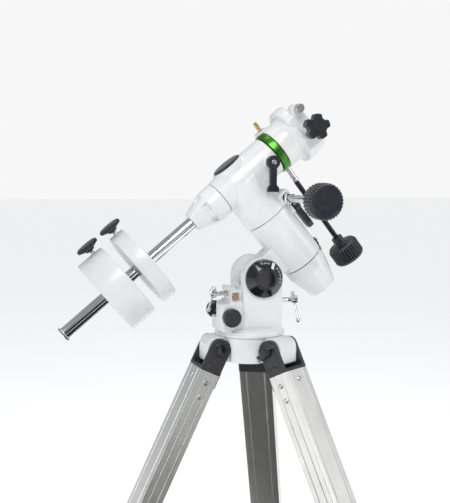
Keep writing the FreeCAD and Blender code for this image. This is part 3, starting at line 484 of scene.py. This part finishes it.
def build_leg(name):
    place, body, lower = leg_frame(name), "leg_" + name, "lower_leg_" + name
    plates, pockets = [], []
    for side in (EAST, WEST):
        outline = [(-15, -34.5, 2), (15, -34.5, 2), (15, 15, 15), (-15, 15, 15)]
        plates.append(upright(prism(outline, *sorted((-19.4 * side.y, -26.4 * side.y)), 0.1, 1)))
        inner = [(-11.4, -29, 4), (11.4, -29, 4), (11.4, 10, 10), (-11.4, 10, 10)]
        pockets.append(upright(prism(inner, *sorted((-25.4 * side.y, -30 * side.y)), 0.1, 0)))
    order = [plates[0], brick((-14.8, -26.2, -34.3), (14.8, 26.2, -29.6), 0.4), plates[1],
             brick((-14.9, -26.1, -34.2), (-10, 26.1, -21), 0.4)]
    shell = cast("shell", order, pockets, None)
    data = bmesh.new()
    data.from_mesh(shell.data)
    bpy.data.objects.remove(shell)
    bosses = [moved(rod(9.4, 19.4, 26.4, 0.6), z_axis=side) for side in (EAST, WEST)]
    half_disc = []
    for k in range(17):
        turn = math.pi * k / 16
        half_disc.append((9.4 * math.cos(turn), -34.2 + 11.5 * math.sin(turn), 0))
    buttons = [upright(prism(half_disc, *sorted((-24 * side.y, -26.8 * side.y)), 0.1, 0))
               for side in (EAST, WEST)]
    holes = [moved(rod(5.3, 15, 30, 0), z_axis=side) for side in (EAST, WEST)]
    bracket = cast("bracket_" + name, [data, *bosses, *buttons], holes, 0.6, 3)
    finish_piece(bracket, place, BRACKET, body, ["leg_bracket_" + name])

    collar = brick((-15.9, -24.6, -53), (-15.1, 24.6, -30), 0.3)
    piece("collar_" + name, [collar], place, BRACKET, body)

    outline = grooved(30, 50, 0.9, 0.8, (-6, 6), (-14, 14))
    rail = tube("rail_" + name, outline, rectangle(24.4, 44.4), -400, -34.5)
    finish_piece(rail, place, LEG, body, ["leg_rail_" + name], 25)
    screws = []
    for side in (EAST, WEST):
        for z in (-50, -71):
            head = lathe([(0, 24.6), (3.6, 24.6), (3.6, 25.6), (2.6, 26.8, 0.8), (0, 27.1)], 0.4, 32)
            screws.append(moved(moved(head, z_axis=side), 0, 0, z))
    head = lathe([(0, 14.6), (3.6, 14.6), (3.6, 15.6), (2.6, 16.8, 0.8), (0, 17.1)], 0.4, 32)
    screws.append(moved(moved(head, z_axis=SOUTH), 0, 0, -48))
    piece("rail_screws_" + name, screws, place, STEEL, body)

    shell = brick((-21, -31, -428), (21, 31, -384), 2, 6)
    collar = brick((-19, -29, -386), (19, 29, -380), 1, 5)
    boss = moved(rod(10, 14, 21.8, 0.5), z=-413.33, z_axis=SOUTH)
    cuts = [brick((-15.2, -25.2, -400.2), (15.2, 25.2, -370), 0),
            brick((-12.6, -22.6, -440), (12.6, 22.6, -399), 0),
            moved(rod(3.6, 5, 30, 0), z=-413.33, z_axis=SOUTH)]
    clamp = cast("clamp_" + name, [shell, collar, boss], cuts, 0.8, 4)
    finish_piece(clamp, place, BRACKET, body, ["leg_clamp_" + name])

    def lobes(angle, r, z):
        return r - 0.9 * (1 + math.cos(6 * angle)) if r > 9 and z > 23 else r
    knob = [(0, 12.4), (2.9, 12.4), (2.9, 22), (8, 22.5), (14, 24, 1.5), (14, 35, 2), (11, 38, 1), (0, 38)]
    spot = inside(place, 0, 0, -413.33, SOUTH)
    piece("lock_knob_" + name, [lathe(knob, 0.5, 144, wave=lobes)], spot, BLACK, "leg_lock_" + name,
          ["leg_lock_knob_" + name])

    outline = grooved(23.4, 43.4, 0.7, 0.5, (-4, 4), (-10, 10))
    extension = tube("lower_tube_" + name, outline, rectangle(19.8, 39.8), -686, -60)
    finish_piece(extension, place, LEG, lower, ["leg_extension_" + name], 25)
    socket = brick((-15, -25, -700), (15, 25, -684), 1.5, 4)
    ribs = [(0, -702), (15, -702, 1)]
    for step in range(3):
        low = -704.5 - 4 * step
        ribs += [(14.4 - 0.6 * step, low, 0.5), (13.2 - 0.6 * step, low - 1.4, 0.5),
                 (13.8 - 0.6 * step, low - 3, 0.5)]
    ribs += [(12, -720), (0, -720)]
    taper = lathe([(0, -698), (15, -698)] + ribs[1:], 0.5, 64)
    tip = ball(12, -720)
    piece("foot_" + name, [socket, taper, tip], place, RUBBER, lower, ["leg_foot_" + name])


# ---------------------------------------------------------------- base and latitude
TILT = Vector(JOINTS["latitude_tilt"]["pos_m"]) - TOP.to_translation()
TILT_X, TILT_Z = TILT.x / MM, TILT.z / MM
FORK_HALF, SLOT_HALF, LUG_HALF, CHEEK = 33, 18.2, 17.9, 29.5


def build_base():
    arc = [(TILT_X + CHEEK * math.cos(math.pi * k / 40), TILT_Z + CHEEK * math.sin(math.pi * k / 40),
            0) for k in range(41)]
    outline = [(-19, 4, 0), (38.5, 4, 0), (38.8, 70, 0), *arc, (-19, 70, 0)]
    tower = upright(prism(outline, -FORK_HALF, FORK_HALF, 0.01, 1.2))
    flange = rod(50, 0, 5, 1.4, 128)
    upper_flange = rod(48.6, 4, 8, 1.2, 128)
    step = rod(44, 6, 10.5, 1.2, 128)
    flare = [brick((30, -28, 6), (43.2, 28, 9.5), 0.4), brick((30, -27, 8), (41.4, 27, 13), 0.4),
             brick((30, -26, 12), (39.8, 26, 18), 0.4)]
    knuckle = brick((-49.3, -30, 7), (-15, 30, 46), 1.5, 8)
    shoulder = brick((-36, -25, 40), (-15, 25, 49.5), 1.5, 3)
    stand = brick((-33.4, -18, 43), (-17, 18, 64.6), 1.2)
    nub = brick((-38.6, -5, 63), (-29, 9, 70), 1)
    rib = brick((-31, -5, 58), (-22, 9, 68), 1)
    panel = brick((-17, -33.9, 14), (36.5, -32, 40.6), 0.4)
    rear_panel = brick((-17, 32, 14), (36.5, 33.9, 40.6), 0.4)
    slot = 2 * SLOT_HALF + 0.4
    cuts = [
        brick((-10.5, -slot / 2, 38), (33.5, slot / 2, 140), 0),
        brick((-40, -slot / 2, 70), (-9.6, slot / 2, 140), 0),
        brick((30, -slot / 2, 60), (60, slot / 2, 140), 0),
        brick((-46.5, -14.2, -1), (-31.5, 14.2, 42), 0),
        brick((-30.8, -20, 48), (-20.4, -12, 61.4), 0), brick((-30.8, 12, 48), (-20.4, 20, 61.4), 0),
        brick((-54, 1, 25), (-41, 36, 52), 0),
        brick((-14, -36, 35), (-3, -33.2, 38.4), 0), brick((-14, -36, 38), (2, -33.2, 42), 0),
        moved(rod(4.4, -40, 40, 0), -39, 0, 30, EAST),
        moved(rod(3.9, 0, 50, 0), 0, 0, 59, NORTH),
        moved(rod(3.9, 20, 50, 0), 0, 0, 46, SOUTH),
        rod(5.5, -1, 24, 0),
        brick((-21, -30, 70), (-17.6, -21, 98), 0), brick((-21, 21, 70), (-17.6, 30, 98), 0),
    ]
    solids = [tower, flange, upper_flange, step, *flare, knuckle, shoulder, stand, nub, rib, panel,
              rear_panel]
    casting = cast("base_and_fork", solids, cuts, 0.8, 3)
    finish_piece(casting, TOP, PAINT, "base", ["base_casting"])
    place = inside(TOP, -25.7, -11.6, 54.6, WEST)
    collar = [lathe([(0, -0.5), (4, -0.5), (4, 3.4), (3.3, 4, 0.4), (2.4, 4), (2, 3.2), (0, 3.2)], 0.4, 48),
              hexagon(3.2, 2.8, 4.4)]
    piece("bolt_collar", collar, place, COPPER, "base")
    nut = [moved(lathe([(0, 33), (12, 33), (12, 34.6), (0, 34.6)], 0.4), z_axis=EAST),
           moved(hexagon(19, 34.4, 38.6), z_axis=EAST), moved(rod(6, 38, 39, 0.3), z_axis=EAST),
           moved(rod(6, -33, 34, 0.2), z_axis=EAST)]
    piece("hinge_nut", nut, inside(TOP, TILT_X, 0, TILT_Z), STEEL, "base", ["latitude_axle"])


def label(text, height, place, thick=0.08):
    """Digits as a thin mesh, in millimetres, in a local frame."""
    curve = bpy.data.curves.new("digits", "FONT")
    curve.body = text
    curve.size = height
    curve.align_x, curve.align_y = "CENTER", "CENTER"
    curve.extrude = thick
    curve.resolution_u = 2
    thing = bpy.data.objects.new("digits", curve)
    bpy.context.scene.collection.objects.link(thing)
    graph = bpy.context.evaluated_depsgraph_get()
    data = bpy.data.meshes.new_from_object(thing.evaluated_get(graph))
    mesh = bmesh.new()
    mesh.from_mesh(data)
    bpy.data.objects.remove(thing)
    mesh.transform(place)
    return mesh


def build_dial():
    dial = inside(TOP, TILT_X, 0, TILT_Z, WEST, UP)
    outline = [(0, 33), (27, 33), (27, 37, 0.8), (16, 45, 0.8), (14.6, 45, 0.3), (14.2, 44.5, 0.3),
               (13, 44.5, 0.3),
               (12.4, 45, 0.3), (0, 45)]
    piece("dial_disc", [lathe(outline, 0.5, 128)], dial, GLOSS, "base", ["latitude_dial"])
    marks = []
    slope = Vector((11, 0, -8)).normalized()
    face = Vector((8, 0, 11)).normalized()

    def on_rim(radius, clockwise):
        spot = Vector((radius, 0, 45 - (radius - 16) * 8 / 11))
        return Matrix.Rotation(-math.radians(clockwise), 4, "Z") @ Matrix.Translation(spot)

    for step in range(41):
        tick = brick((-0.7 if step % 5 == 0 else 0.1, -0.14, -0.1), (1.2, 0.14, 0.12), 0)
        tick.transform(on_rim(25.2, -20 + 3.2 * step) @ axes((0, 0, 0), face, slope))
        marks.append(tick)
    for step, text in enumerate(("70", "60", "50", "", "", "40", "30", "20", "10", "0")):
        if text:
            local = on_rim(21.9, -14 + 13 * step) @ axes((0, 0, 0), face, face.cross(slope) * -1)
            marks.append(label(text, 3.8, local @ Matrix.Translation((0, 0, 0.05))))
    window = brick((-5.6, -2, -0.1), (5.2, 2, 0.3), 0.1)
    window.transform(on_rim(21, 31) @ axes((0, 0, 0), face, slope))
    marks.append(window)
    piece("dial_marks", marks, dial, INK, "base")


def fluted(count, depth, least):
    """Flutes round a knob, on the surfaces wider than a radius."""
    def wave(angle, r, z):
        return r - depth * (0.5 + 0.5 * math.cos(count * angle)) ** 2 if r > least else r
    return wave


def build_azimuth_screws():
    for name, direction in (("west", WEST), ("east", EAST)):
        place = inside(TOP, -39, 0, 30, direction)
        outline = [(0, 37), (9.5, 37), (12, 38), (13, 39.5, 1), (13, 48, 1), (11.2, 50, 0.8), (6, 50),
                   (5.6, 49.5), (0, 49.5)]
        piece("azimuth_knob_" + name, [lathe(outline, 0.4, 180, wave=fluted(30, 0.35, 11.9))], place, BLACK,
              "azimuth_screw_" + name, ["azimuth_screw_" + name])
        piece("azimuth_stem_" + name, [rod(4, 5.8, 37.4)], place, STEEL, "azimuth_screw_" + name)


def threaded(radius, low, high, pitch=1.25, depth=0.35):
    """Outline of a screw thread drawn as rings."""
    path, z = [], low
    while z + pitch <= high:
        path += [(radius - depth, z, 0.05), (radius, z + 0.45 * pitch, 0.1)]
        z += pitch
    return path


def build_latitude_bolts():
    half = 9
    for side, direction, tip, rise, reach in (
            ("north", NORTH, TILT_X - half - 1.3, 59, 50), ("south", SOUTH, TILT_X + half + 1.5, 46, 43)):
        up = Vector(JOINTS[f"tommy_{side}_slide"]["axis"])
        place = inside(TOP, tip, 0, rise, direction, up)
        outline = [(0, 0), (2.5, 0), (2.5, 5), (3.1, 6.5), *threaded(3.5, 7, reach - 4), (3.4, reach - 2),
                   (3.4, reach),
                   (6, reach, 0.6), (6, reach + 9, 1), (0, reach + 9.2)]
        hole = moved(rod(1.6, -12, 12, 0), z=reach + 4.5, z_axis=SOUTH)
        bolt = cast("t_bolt_" + side, [lathe(outline, 0.3, 48)], [hole], None)
        finish_piece(bolt, place, CHROME, "latitude_bolt_" + side, ["latitude_bolt_" + side], 30)
        top = 6 + 3.4 + 0.3
        bar = [moved(rod(1.5, top - 43, top, 0.2, 24), z_axis=SOUTH), moved(ball(3.4), x=top),
               moved(ball(3.4), x=top - 43)]
        for mesh in bar:
            moved(mesh, z=reach + 4.5)
        piece("cross_bar_" + side, bar, place, CHROME, "tommy_bar_" + side, ["tommy_bar_" + side])


# ---------------------------------------------------------------- polar axis
def build_polar_housing():
    hinge = (HEAD.inverted() @ Vector(JOINTS["latitude_tilt"]["pos_m"])) / MM
    barrel = rod(33, -147, -63.6, 1.2, 128)
    spigot = rod(26, -162, -145, 0.5, 96)
    arm = brick((hinge.x, -LUG_HALF, hinge.z - 20), (0, LUG_HALF, hinge.z + 20), 1)
    lug = moved(rod(20, -LUG_HALF, LUG_HALF, 1, 96), hinge.x, 0, hinge.z, EAST)
    tongue = brick((-9, -LUG_HALF, -40), (9, LUG_HALF, 0), 1)
    level = HEAD.to_3x3().inverted().to_4x4()
    tongue.transform(level)
    moved(tongue, hinge.x, 0, hinge.z)
    boss = moved(rod(9, 20, 34.5, 0.6), 0, -8, -78, SOUTH)
    flat = brick((-20, -34, -135), (28, -12, -78), 3, 2)
    rear_flat = brick((-20, 12, -135), (28, 34, -78), 3, 2)
    cuts = [rod(20.9, -175, -40, 0, 96), moved(rod(6.6, -40, 40, 0), hinge.x, 0, hinge.z, EAST),
            moved(rod(3.4, 15, 45, 0), 0, -8, -78, SOUTH)]
    casting = cast("polar_barrel", [barrel, spigot, arm, lug, tongue, boss, flat, rear_flat], cuts, 0.9, 5)
    finish_piece(casting, HEAD, PAINT, "polar", ["polar_housing"])


def build_polar_trim():
    outline = [(29.4, -148.4), (31.2, -148.4, 0.6), (31.6, -161, 2), (24.5, -189, 3), (21.5, -199, 1.5),
               (17.5, -201, 1),
               (9, -201), (8.4, -200.2), (0, -200.2), (0, -198), (17.5, -197), (24.9, -165), (26.1, -163),
               (26.1, -158),
               (29.4, -157)]
    piece("polar_bell", [lathe(outline, 0.6, 128, closed=True)], HEAD, PAINT, "polar_cover",
          ["polar_cover"])
    ring = lathe([(26, -148), (29, -148), (29, -156), (26, -156)], 0.3, 128, closed=True)
    piece("polar_circle", [ring], HEAD, BLACK, "polar", ["ra_circle"])
    ticks = []
    for step in range(72):
        low = -155.5 if step % 6 == 0 else -153.4
        ticks.append(spun(brick((28.7, -0.18, low), (29.12, 0.18, -150.4), 0), 5 * step))
    piece("polar_ticks", ticks, HEAD, INK, "polar")
    arm = upright(prism([(33, -146, 0.3), (35.4, -146, 0.3), (35.8, -135, 0.5), (33, -134.4, 0.3)], -4, 4,
                        0.1, 0.3))
    tip = upright(prism([(33, -153, 0.3), (34.6, -153, 0.3), (35, -145, 0.3), (33, -145, 0.3)], -1.5, 1.5,
                        0.1, 0.2))
    piece("pointer", [arm, tip], HEAD, BLACK, "polar", ["ra_pointer"])
    diamond = prism([(-6.5, 0, 0), (0, -3.4, 0), (6.5, 0, 0), (0, 3.4, 0)], 31.9, 33.2, 0.1, 0.1)
    moved(diamond, 0, 0, -146.4, SOUTH, UP)
    piece("pointer_mark", [spun(diamond, -24)], HEAD, GREEN, "polar")
    head = moved(lathe([(0, 35.2), (3.3, 35.2), (3.3, 38.4), (0, 38.9)], 0.4, 96,
                       wave=fluted(20, 0.25, 3.2)), z=-138, z_axis=SOUTH)
    piece("pointer_screw", [head], HEAD, STEEL, "polar")


def build_lever(name, joint, body, outline, low, round_off):
    place = joint_frame(joint, UP)
    hub = lathe([(0, 1), (9, 1), (9.5, 2), (9.5, 9.5, 1.2), (8, 10.5, 0.6), (4.2, 10.5), (3.8, 9.6),
                 (0, 9.6)], 0.4)
    far_side = [(x, -y, ease) for x, y, ease in reversed(outline)]
    arm = prism([(x, y, ease) for x, y, ease in outline] + far_side, low, 9.4, 0.1, round_off)
    piece("lever_" + name, [hub, arm], place, BLACK, body, [name + "_lever"])
    screw = lathe([(0, -9), (3, -9), (3, 9.8), (3.6, 9.9), (3.5, 11, 0.5), (1.6, 11.4), (1.5, 10.6),
                   (0, 10.6)], 0.3, 48)
    piece("lever_screw_" + name, [screw], place, STEEL, body)


def build_declination_housing():
    worm = JOINTS["ra_slow_turn"]
    line = (HEAD.inverted() @ Vector(worm["pos_m"])) / MM
    skirt = rod(34, -63, 0, 1.2, 128)
    barrel = moved(lathe([(0, -37), (26, -37, 0.8), (29.5, -12, 6), (29.5, 58, 1.2), (0, 58)], 0.5, 128),
                   z_axis=SOUTH)
    neck = moved(rod(22, 50, 69.6, 0.4, 96), z_axis=SOUTH)
    crown = rod(24.5, 0, 29.5, 1.2, 96)
    carrier = brick((22, -26, -63), (42, 26, -47), 1.5, 3)
    boss = moved(rod(9, 15, 31.5, 0.6), 45, 0, -3, WEST)
    cuts = [rod(20, -67, -22, 0, 96), rod(31, -66, -49, 0, 96),
            moved(rod(6, -30, 30, 0), line.x, 0, line.z, EAST),
            moved(rod(14.6, -45, 80, 0, 96), z_axis=SOUTH), rod(12, -25, 35, 0), rod(20.5, 19.5, 36, 0, 96),
            moved(rod(3.4, 10, 40, 0), 45, 0, -3, WEST)]
    casting = cast("tee_housing", [skirt, barrel, neck, crown, carrier, boss], cuts, 0.9, 5)
    finish_piece(casting, HEAD, PAINT, "ra_head", ["declination_housing"])


def build_caps_and_circles():
    cap = lathe([(0, 20), (19.9, 20), (19.9, 29.8), (22.4, 29.8, 0.3), (22.4, 31, 0.6), (19, 32.4, 1.5),
                 (8, 32.8, 3), (0, 32.9)],
                0.4, 96)
    piece("pole_plug", [cap], HEAD, GLOSS, "pole_cap", ["pole_cap"])
    ring = lathe([(22, 59.2), (31.3, 59.2, 0.4), (31.3, 68.8, 0.4), (22, 68.8)], 0.3, 128, closed=True)
    piece("declination_ring", [ring], DEC, GREEN, "ra_head", ["dec_circle"])
    screws = []
    for turn in (-95, 25, 145):
        hole = lathe([(0, 30.6), (1.7, 30.6), (1.7, 31.45), (1.1, 31.45), (1.0, 31.1), (0, 31.1)], 0.1, 24)
        screws.append(spun(moved(hole, z=64, z_axis=SOUTH), turn))
    piece("ring_set_screws", screws, DEC, BLACK, "ra_head")


# ---------------------------------------------------------------- slow motions
def build_slow_motion(name, sleeve_end, cable_end, knob_start):
    place = joint_frame(name + "_slow_turn", UP)
    body = name + "_slow"
    rings = [(3, 34), (5.2, 34, 0.6), (5.2, sleeve_end - 10, 0.2), (4.9, sleeve_end - 9.6, 0.2),
             (4.9, sleeve_end - 8.6, 0.2),
             (5.2, sleeve_end - 8.2, 0.2), (5.2, sleeve_end, 0.6), (3, sleeve_end)]
    piece("sleeve_" + name, [lathe(rings, 0.3, 48, closed=True)], place, CHROME, body,
          [name + "_slow_shaft"])
    if name == "ra":
        clip = [brick((-6.4, -6.4, 30.5), (6.4, 6.4, 37), 1.2, 1.5),
                moved(rod(2.6, 5, 9, 0.4, 32), z=33.8, z_axis=NORTH)]
        piece("sleeve_clip", clip, place, CHROME, body)
    turns = 2.2
    winding = [(0, 30)]
    count = int(cable_end - 30)
    for step in range(count + 1):
        winding.append((4, 30 + step, 0))
    winding.append((0, 30 + count))

    def wound(angle, r, z):
        return r - 0.12 * (1 + math.cos(angle - z * turns)) if r > 1 else r
    piece("cable_" + name, [lathe(winding, 0, 48, wave=wound)], place, CABLE, body)
    s, far = knob_start, knob_start + 10 + 28
    outline = [(4.1, s), (8.5, s, 0.8), (8.5, s + 12, 1.5), (20.8, s + 13, 1), (23.8, s + 17, 1.5),
               (23.8, far - 1, 1.2),
               (20.8, far + 3, 1.6), (19, far + 3), (18.4, far + 2.4, 0.6), (0, far + 2.4)]
    piece("knob_" + name, [lathe(outline, 0.5, 384, wave=fluted(32, 1.4, 21.4))], place, BLACK, body,
          [name + "_knob"])
    screw = moved(lathe([(0, 8), (2, 8), (2, 8.9), (1.1, 8.9), (1, 8.4), (0, 8.4)], 0.1, 24), z=s + 5,
                  z_axis=SOUTH)
    piece("knob_screw_" + name, [screw], place, STEEL, body)


# ---------------------------------------------------------------- declination axis
def build_saddle():
    worm = (HEAD.inverted() @ Vector(JOINTS["dec_slow_turn"]["pos_m"])) / MM
    base = moved(rod(32.5, 70, 99, 1.4, 128), z_axis=SOUTH)
    carrier = brick((70, 21, -26), (89, 45, 30), 2, 3)
    disc = [(max(-34, min(34, 43 * math.cos(math.tau * k / 96))), 43 * math.sin(math.tau * k / 96),
             0) for k in range(96)]
    clean = [p for k, p in enumerate(disc) if (Vector(p[:2]) - Vector(disc[k - 1][:2])).length > 0.05]
    table = moved(prism(clean, 97, 127, 0.01, 2.5), z_axis=SOUTH, x_axis=EAST)
    waist = moved(lathe([(0, 84), (32, 84), (33.5, 92, 3), (36.5, 97, 3), (36.5, 104), (0, 104)], 0.5, 96),
                  z_axis=SOUTH)
    screw_boss = moved(rod(8.5, 20, 37, 1), 119, 0, 31, WEST)
    knob_boss = moved(rod(8, 20, 37.5, 1), 119, 0, -3, WEST)
    cuts = [brick((114, -22, -60), (140, 22, 60), 0), moved(rod(29.2, 60, 84.5, 0, 96), z_axis=SOUTH),
            moved(rod(6.4, -50, 50, 0), worm.x, worm.y, 0), moved(rod(4.4, 10, 50, 0), 120.5, 0, -3, WEST),
            moved(rod(4.4, 10, 50, 0), 120.5, 0, 31, WEST),
            upright(prism([(120, 44, 0), (140, 24, 0), (140, 60, 0), (120, 60, 0)], -60, 60, 0.1, 0)),
            upright(prism([(114, -50, 0), (140, -20, 0), (140, -60, 0), (114, -60, 0)], -60, 60, 0.1, 0))]
    casting = cast("saddle_casting", [base, carrier, waist, table, screw_boss, knob_boss], cuts, 0.9, 4)
    finish_piece(casting, HEAD, PAINT, "dec_head", ["saddle_head"])


def build_saddle_screws():
    place = joint_frame("saddle_knob_turn", UP)
    star = []
    for step in range(160):
        turn = math.tau * step / 160
        r = 15.7 + 2.4 * math.tanh(2.4 * (math.cos(5 * turn) + 0.3))
        star.append((r * math.cos(turn), r * math.sin(turn), 0))
    knob = prism(star, 46, 61, 0.01, 2.4)
    boss = lathe([(0, 44.5), (7, 44.5, 1), (7, 47), (0, 47)], 0.4)
    cap = lathe([(0, 60), (8.2, 60), (8.2, 61.3, 0.4), (7.2, 61.4, 0.3), (7, 60.9, 0.2), (6.6, 60.9, 0.2),
                 (6.3, 62.3, 0.5), (0, 62.6)],
                0.3, 64)
    piece("star_knob", [knob, boss, cap], place, BLACK, "saddle_knob", ["saddle_knob"])
    piece("star_stem", [rod(4, 19.2, 45)], place, STEEL, "saddle_knob")
    place = joint_frame("saddle_screw_turn", UP)
    outline = [(0, 19.2), (4, 19.2), (4, 41), (6.3, 41, 0.4), (6.3, 48, 0.6), (5.6, 49, 0.4), (0, 49)]
    piece("saddle_thumb_screw", [lathe(outline, 0.4, 144, wave=fluted(36, 0.25, 6.0))], place, STEEL,
          "saddle_screw",
          ["saddle_screw"])


def build_bar():
    body = lathe([(9.1, -37.6), (25.6, -37.6, 0.8), (26, -40, 0.8), (25.2, -58.5, 2.5), (14.6, -89, 1.5),
                  (13.6, -90, 0.5),
                  (9.1, -90)], 0.5, 144, closed=True)
    cuts = []
    for step in range(6):
        cutter = prism([(0, -6.5, 3), (9, -6.5, 0), (9, 6.5, 0), (0, 6.5, 3)], -9, 11, 0.1, 0)
        cutter.transform(Matrix.Translation((20.6, 0, -72)) @ Matrix.Rotation(math.radians(-17), 4, "Y"))
        cuts.append(spun(cutter, 60 * step + 12))
    nut = cast("taper_nut", [body], cuts, 0.5, 2)
    finish_piece(nut, DEC, PAINT, "dec_head", ["bar_nut"])
    piece("chrome_bar", [rod(9.1, -321, -34, 0.6, 96)], DEC, CHROME, "dec_head",
          ["counterweight_bar"])
    stop = lathe([(0, -321), (10.6, -321), (11, -321.4), (11, -324, 0.4), (10.2, -324.8, 0.4), (4, -324.8),
                  (3.6, -323.8), (0, -323.8)],
                 0.3, 144, wave=fluted(48, 0.2, 10.8))
    piece("stop_disc", [stop], DEC, CHROME, "dec_head", ["end_stop"])


def build_weight(name, start, thick, inset):
    end = start - thick
    outline = [(9.2, start - 0.8), (10.5, start), (15.5, start), (16, start - 0.5, 0.3),
               (17, start - 0.5, 0.3), (17.5, start, 0.3),
               (57.5, start, 2.4), (57.5, end, 2.4), (17.5, end, 0.3), (17, end + 0.5, 0.3),
               (16, end + 0.5, 0.3),
               (15.5, end), (10.5, end), (9.2, end + 0.8)]
    ring = lathe(outline, 0.3, 192, closed=True)
    hole = moved(rod(3.2, 5, 70, 0), z=start - inset, z_axis=NORTH)
    weight = cast("iron_" + name, [ring], [hole], None)
    finish_piece(weight, DEC, IRON, "weight_" + name, ["weight_" + name], 40)
    place = joint_frame(f"thumbscrew_{name}_turn", SOUTH)
    base = 57.5
    knob = lathe([(3, base + 5.5), (6.4, base + 5.5, 0.6), (7, base + 7.4, 1), (16.1, base + 11, 0.8),
                  (16.5, base + 12.4, 0.6),
                  (16.5, base + 14.5, 0.6), (14.5, base + 16, 0.6),
                  (0, base + 16)], 0.4, 240, wave=fluted(40, 0.5, 16.05))
    piece("thumb_knob_" + name, [knob], place, BLACK, "thumbscrew_" + name,
          ["thumbscrew_" + name])
    stem = [(0, 9.8), (3, 9.8), *threaded(3, 12, base + 6, 1.25, 0.3), (2.9, base + 6.5), (0, base + 6.5)]
    piece("thumb_stem_" + name, [lathe(stem, 0.2, 32)], place, STEEL, "thumbscrew_" + name)


build_tripod_head()
build_hinge_bolts()
build_centre_lock()
for leg_name in LEGS:
    build_leg(leg_name)
build_base()
build_dial()
build_azimuth_screws()
build_latitude_bolts()
build_polar_housing()
build_polar_trim()
build_lever("ra", "ra_clutch", "ra_lever", [(0, -7, 0), (-10, -8.4, 2), (-30, -9, 2), (-38, -6, 1.5)], 1.4, 1)
build_lever("dec", "dec_clutch", "dec_lever", [(0, -5.4, 0), (-12, -5, 6), (-31, -4.6, 4), (-35, -8, 2),
                                               (-41, -8.4, 1.5)],
            2.6, 0.9)
build_declination_housing()
build_caps_and_circles()
build_slow_motion("ra", 110, 132, 122)
build_slow_motion("dec", 62, 180, 170)
build_saddle()
build_saddle_screws()
build_bar()
build_weight("small", -170.4, 22, 11)
build_weight("large", -208.6, 41, 13)

for nodes, material in (
        (("azimuth_peg", "ra_shaft", "dec_shaft"), STEEL),
        (("ra_wheel", "dec_wheel", "ra_worm", "dec_worm"), BRASS)):
    for name in nodes:
        shown = frame["nodes"][name]
        shown.data.materials.clear()
        shown.data.materials.append(material)


# ---------------------------------------------------------------- studio and camera
def floor():
    data = bpy.data.meshes.new("floor")
    far = 60
    data.from_pydata([(-far, -far, 0), (far, -far, 0), (far, far, 0), (-far, far, 0)], [], [(0, 1, 2, 3)])
    thing = bpy.data.objects.new("floor", data)
    bpy.context.scene.collection.objects.link(thing)
    material, _, surface = shader("pale_floor", (0.86, 0.86, 0.86), 0.6)
    surface.inputs["Emission Color"].default_value = (1, 1, 1, 1)
    surface.inputs["Emission Strength"].default_value = 0.56
    data.materials.append(material)


def light(name, place, target, side, power):
    data = bpy.data.lights.new(name, "AREA")
    data.shape = "RECTANGLE"
    data.size, data.size_y = side
    data.energy = power
    thing = bpy.data.objects.new(name, data)
    bpy.context.scene.collection.objects.link(thing)
    thing.location = place
    thing.rotation_euler = (Vector(target) - Vector(place)).to_track_quat("-Z", "Y").to_euler()


def card(name, place, target, side):
    """A dark card outside every view, for contrast in the chrome."""
    width, height = side[0] / 2, side[1] / 2
    data = bpy.data.meshes.new(name)
    data.from_pydata([(-width, -height, 0), (width, -height, 0), (width, height, 0), (-width, height, 0)],
                     [], [(0, 1, 2, 3)])
    thing = bpy.data.objects.new(name, data)
    bpy.context.scene.collection.objects.link(thing)
    thing.location = place
    thing.rotation_euler = (Vector(target) - Vector(place)).to_track_quat("-Z", "Y").to_euler()
    data.materials.append(shader(name, (0.01, 0.01, 0.01), 0.9)[0])
    thing.visible_camera = False
    thing.visible_shadow = False
    thing.visible_diffuse = False


def studio():
    world = bpy.data.worlds.new("studio")
    world.use_nodes = True
    tree = world.node_tree
    soft = tree.nodes["Background"]
    soft.inputs["Color"].default_value = (0.95, 0.97, 1, 1)
    soft.inputs["Strength"].default_value = 0.36
    seen = tree.nodes.new("ShaderNodeBackground")
    seen.inputs["Color"].default_value = (1, 1, 1, 1)
    seen.inputs["Strength"].default_value = 0.93
    path, mix = tree.nodes.new("ShaderNodeLightPath"), tree.nodes.new("ShaderNodeMixShader")
    tree.links.new(path.outputs["Is Camera Ray"], mix.inputs[0])
    tree.links.new(soft.outputs[0], mix.inputs[1])
    tree.links.new(seen.outputs[0], mix.inputs[2])
    tree.links.new(mix.outputs[0], tree.nodes["World Output"].inputs["Surface"])
    bpy.context.scene.world = world
    bpy.context.scene.view_settings.view_transform = "Standard"
    middle = TOP.to_translation() + UP * 0.12
    light("key", middle + Vector((-0.5, -1.7, 1.5)), middle, (1.0, 1.0), 23)
    light("side", middle + Vector((1.9, -0.9, 0.5)), middle, (0.8, 1.4), 9)
    light("fill", middle + Vector((-1.9, -0.6, 0.4)), middle, (0.6, 1.4), 6)
    light("top", middle + Vector((0.2, 0.2, 2.0)), middle, (1.6, 1.6), 19)
    card("card_left", middle + Vector((-1.4, -1.9, -0.1)), middle, (0.5, 1.6))
    card("card_back", middle + Vector((-0.4, -2.2, -0.3)), middle, (1.3, 1.2))
    card("card_right", middle + Vector((1.0, -1.9, -0.3)), middle, (0.5, 1.4))
    card("card_low", Vector((0, -0.75, 0.03)), Vector((0, -0.75, 2)), (1.2, 1.9))


def camera():
    """At the picture's viewing angle, level with the head."""
    turn, lift, reach = math.radians(16), math.radians(4.5), 1.171
    back = Vector((-math.sin(turn) * math.cos(lift), -math.cos(turn) * math.cos(lift), math.sin(lift)))
    right = Vector((math.cos(turn), -math.sin(turn), 0))
    centre = TOP.to_translation() + UP * 0.1175 - right * 0.035
    data = bpy.data.cameras.new("view")
    data.sensor_width = 36
    data.lens = 58.6
    thing = bpy.data.objects.new("view", data)
    bpy.context.scene.collection.objects.link(thing)
    thing.location = centre + back * reach
    thing.rotation_euler = (-back).to_track_quat("-Z", "Y").to_euler()
    bpy.context.scene.camera = thing


floor()
studio()
camera()
bpy.context.view_layer.update()
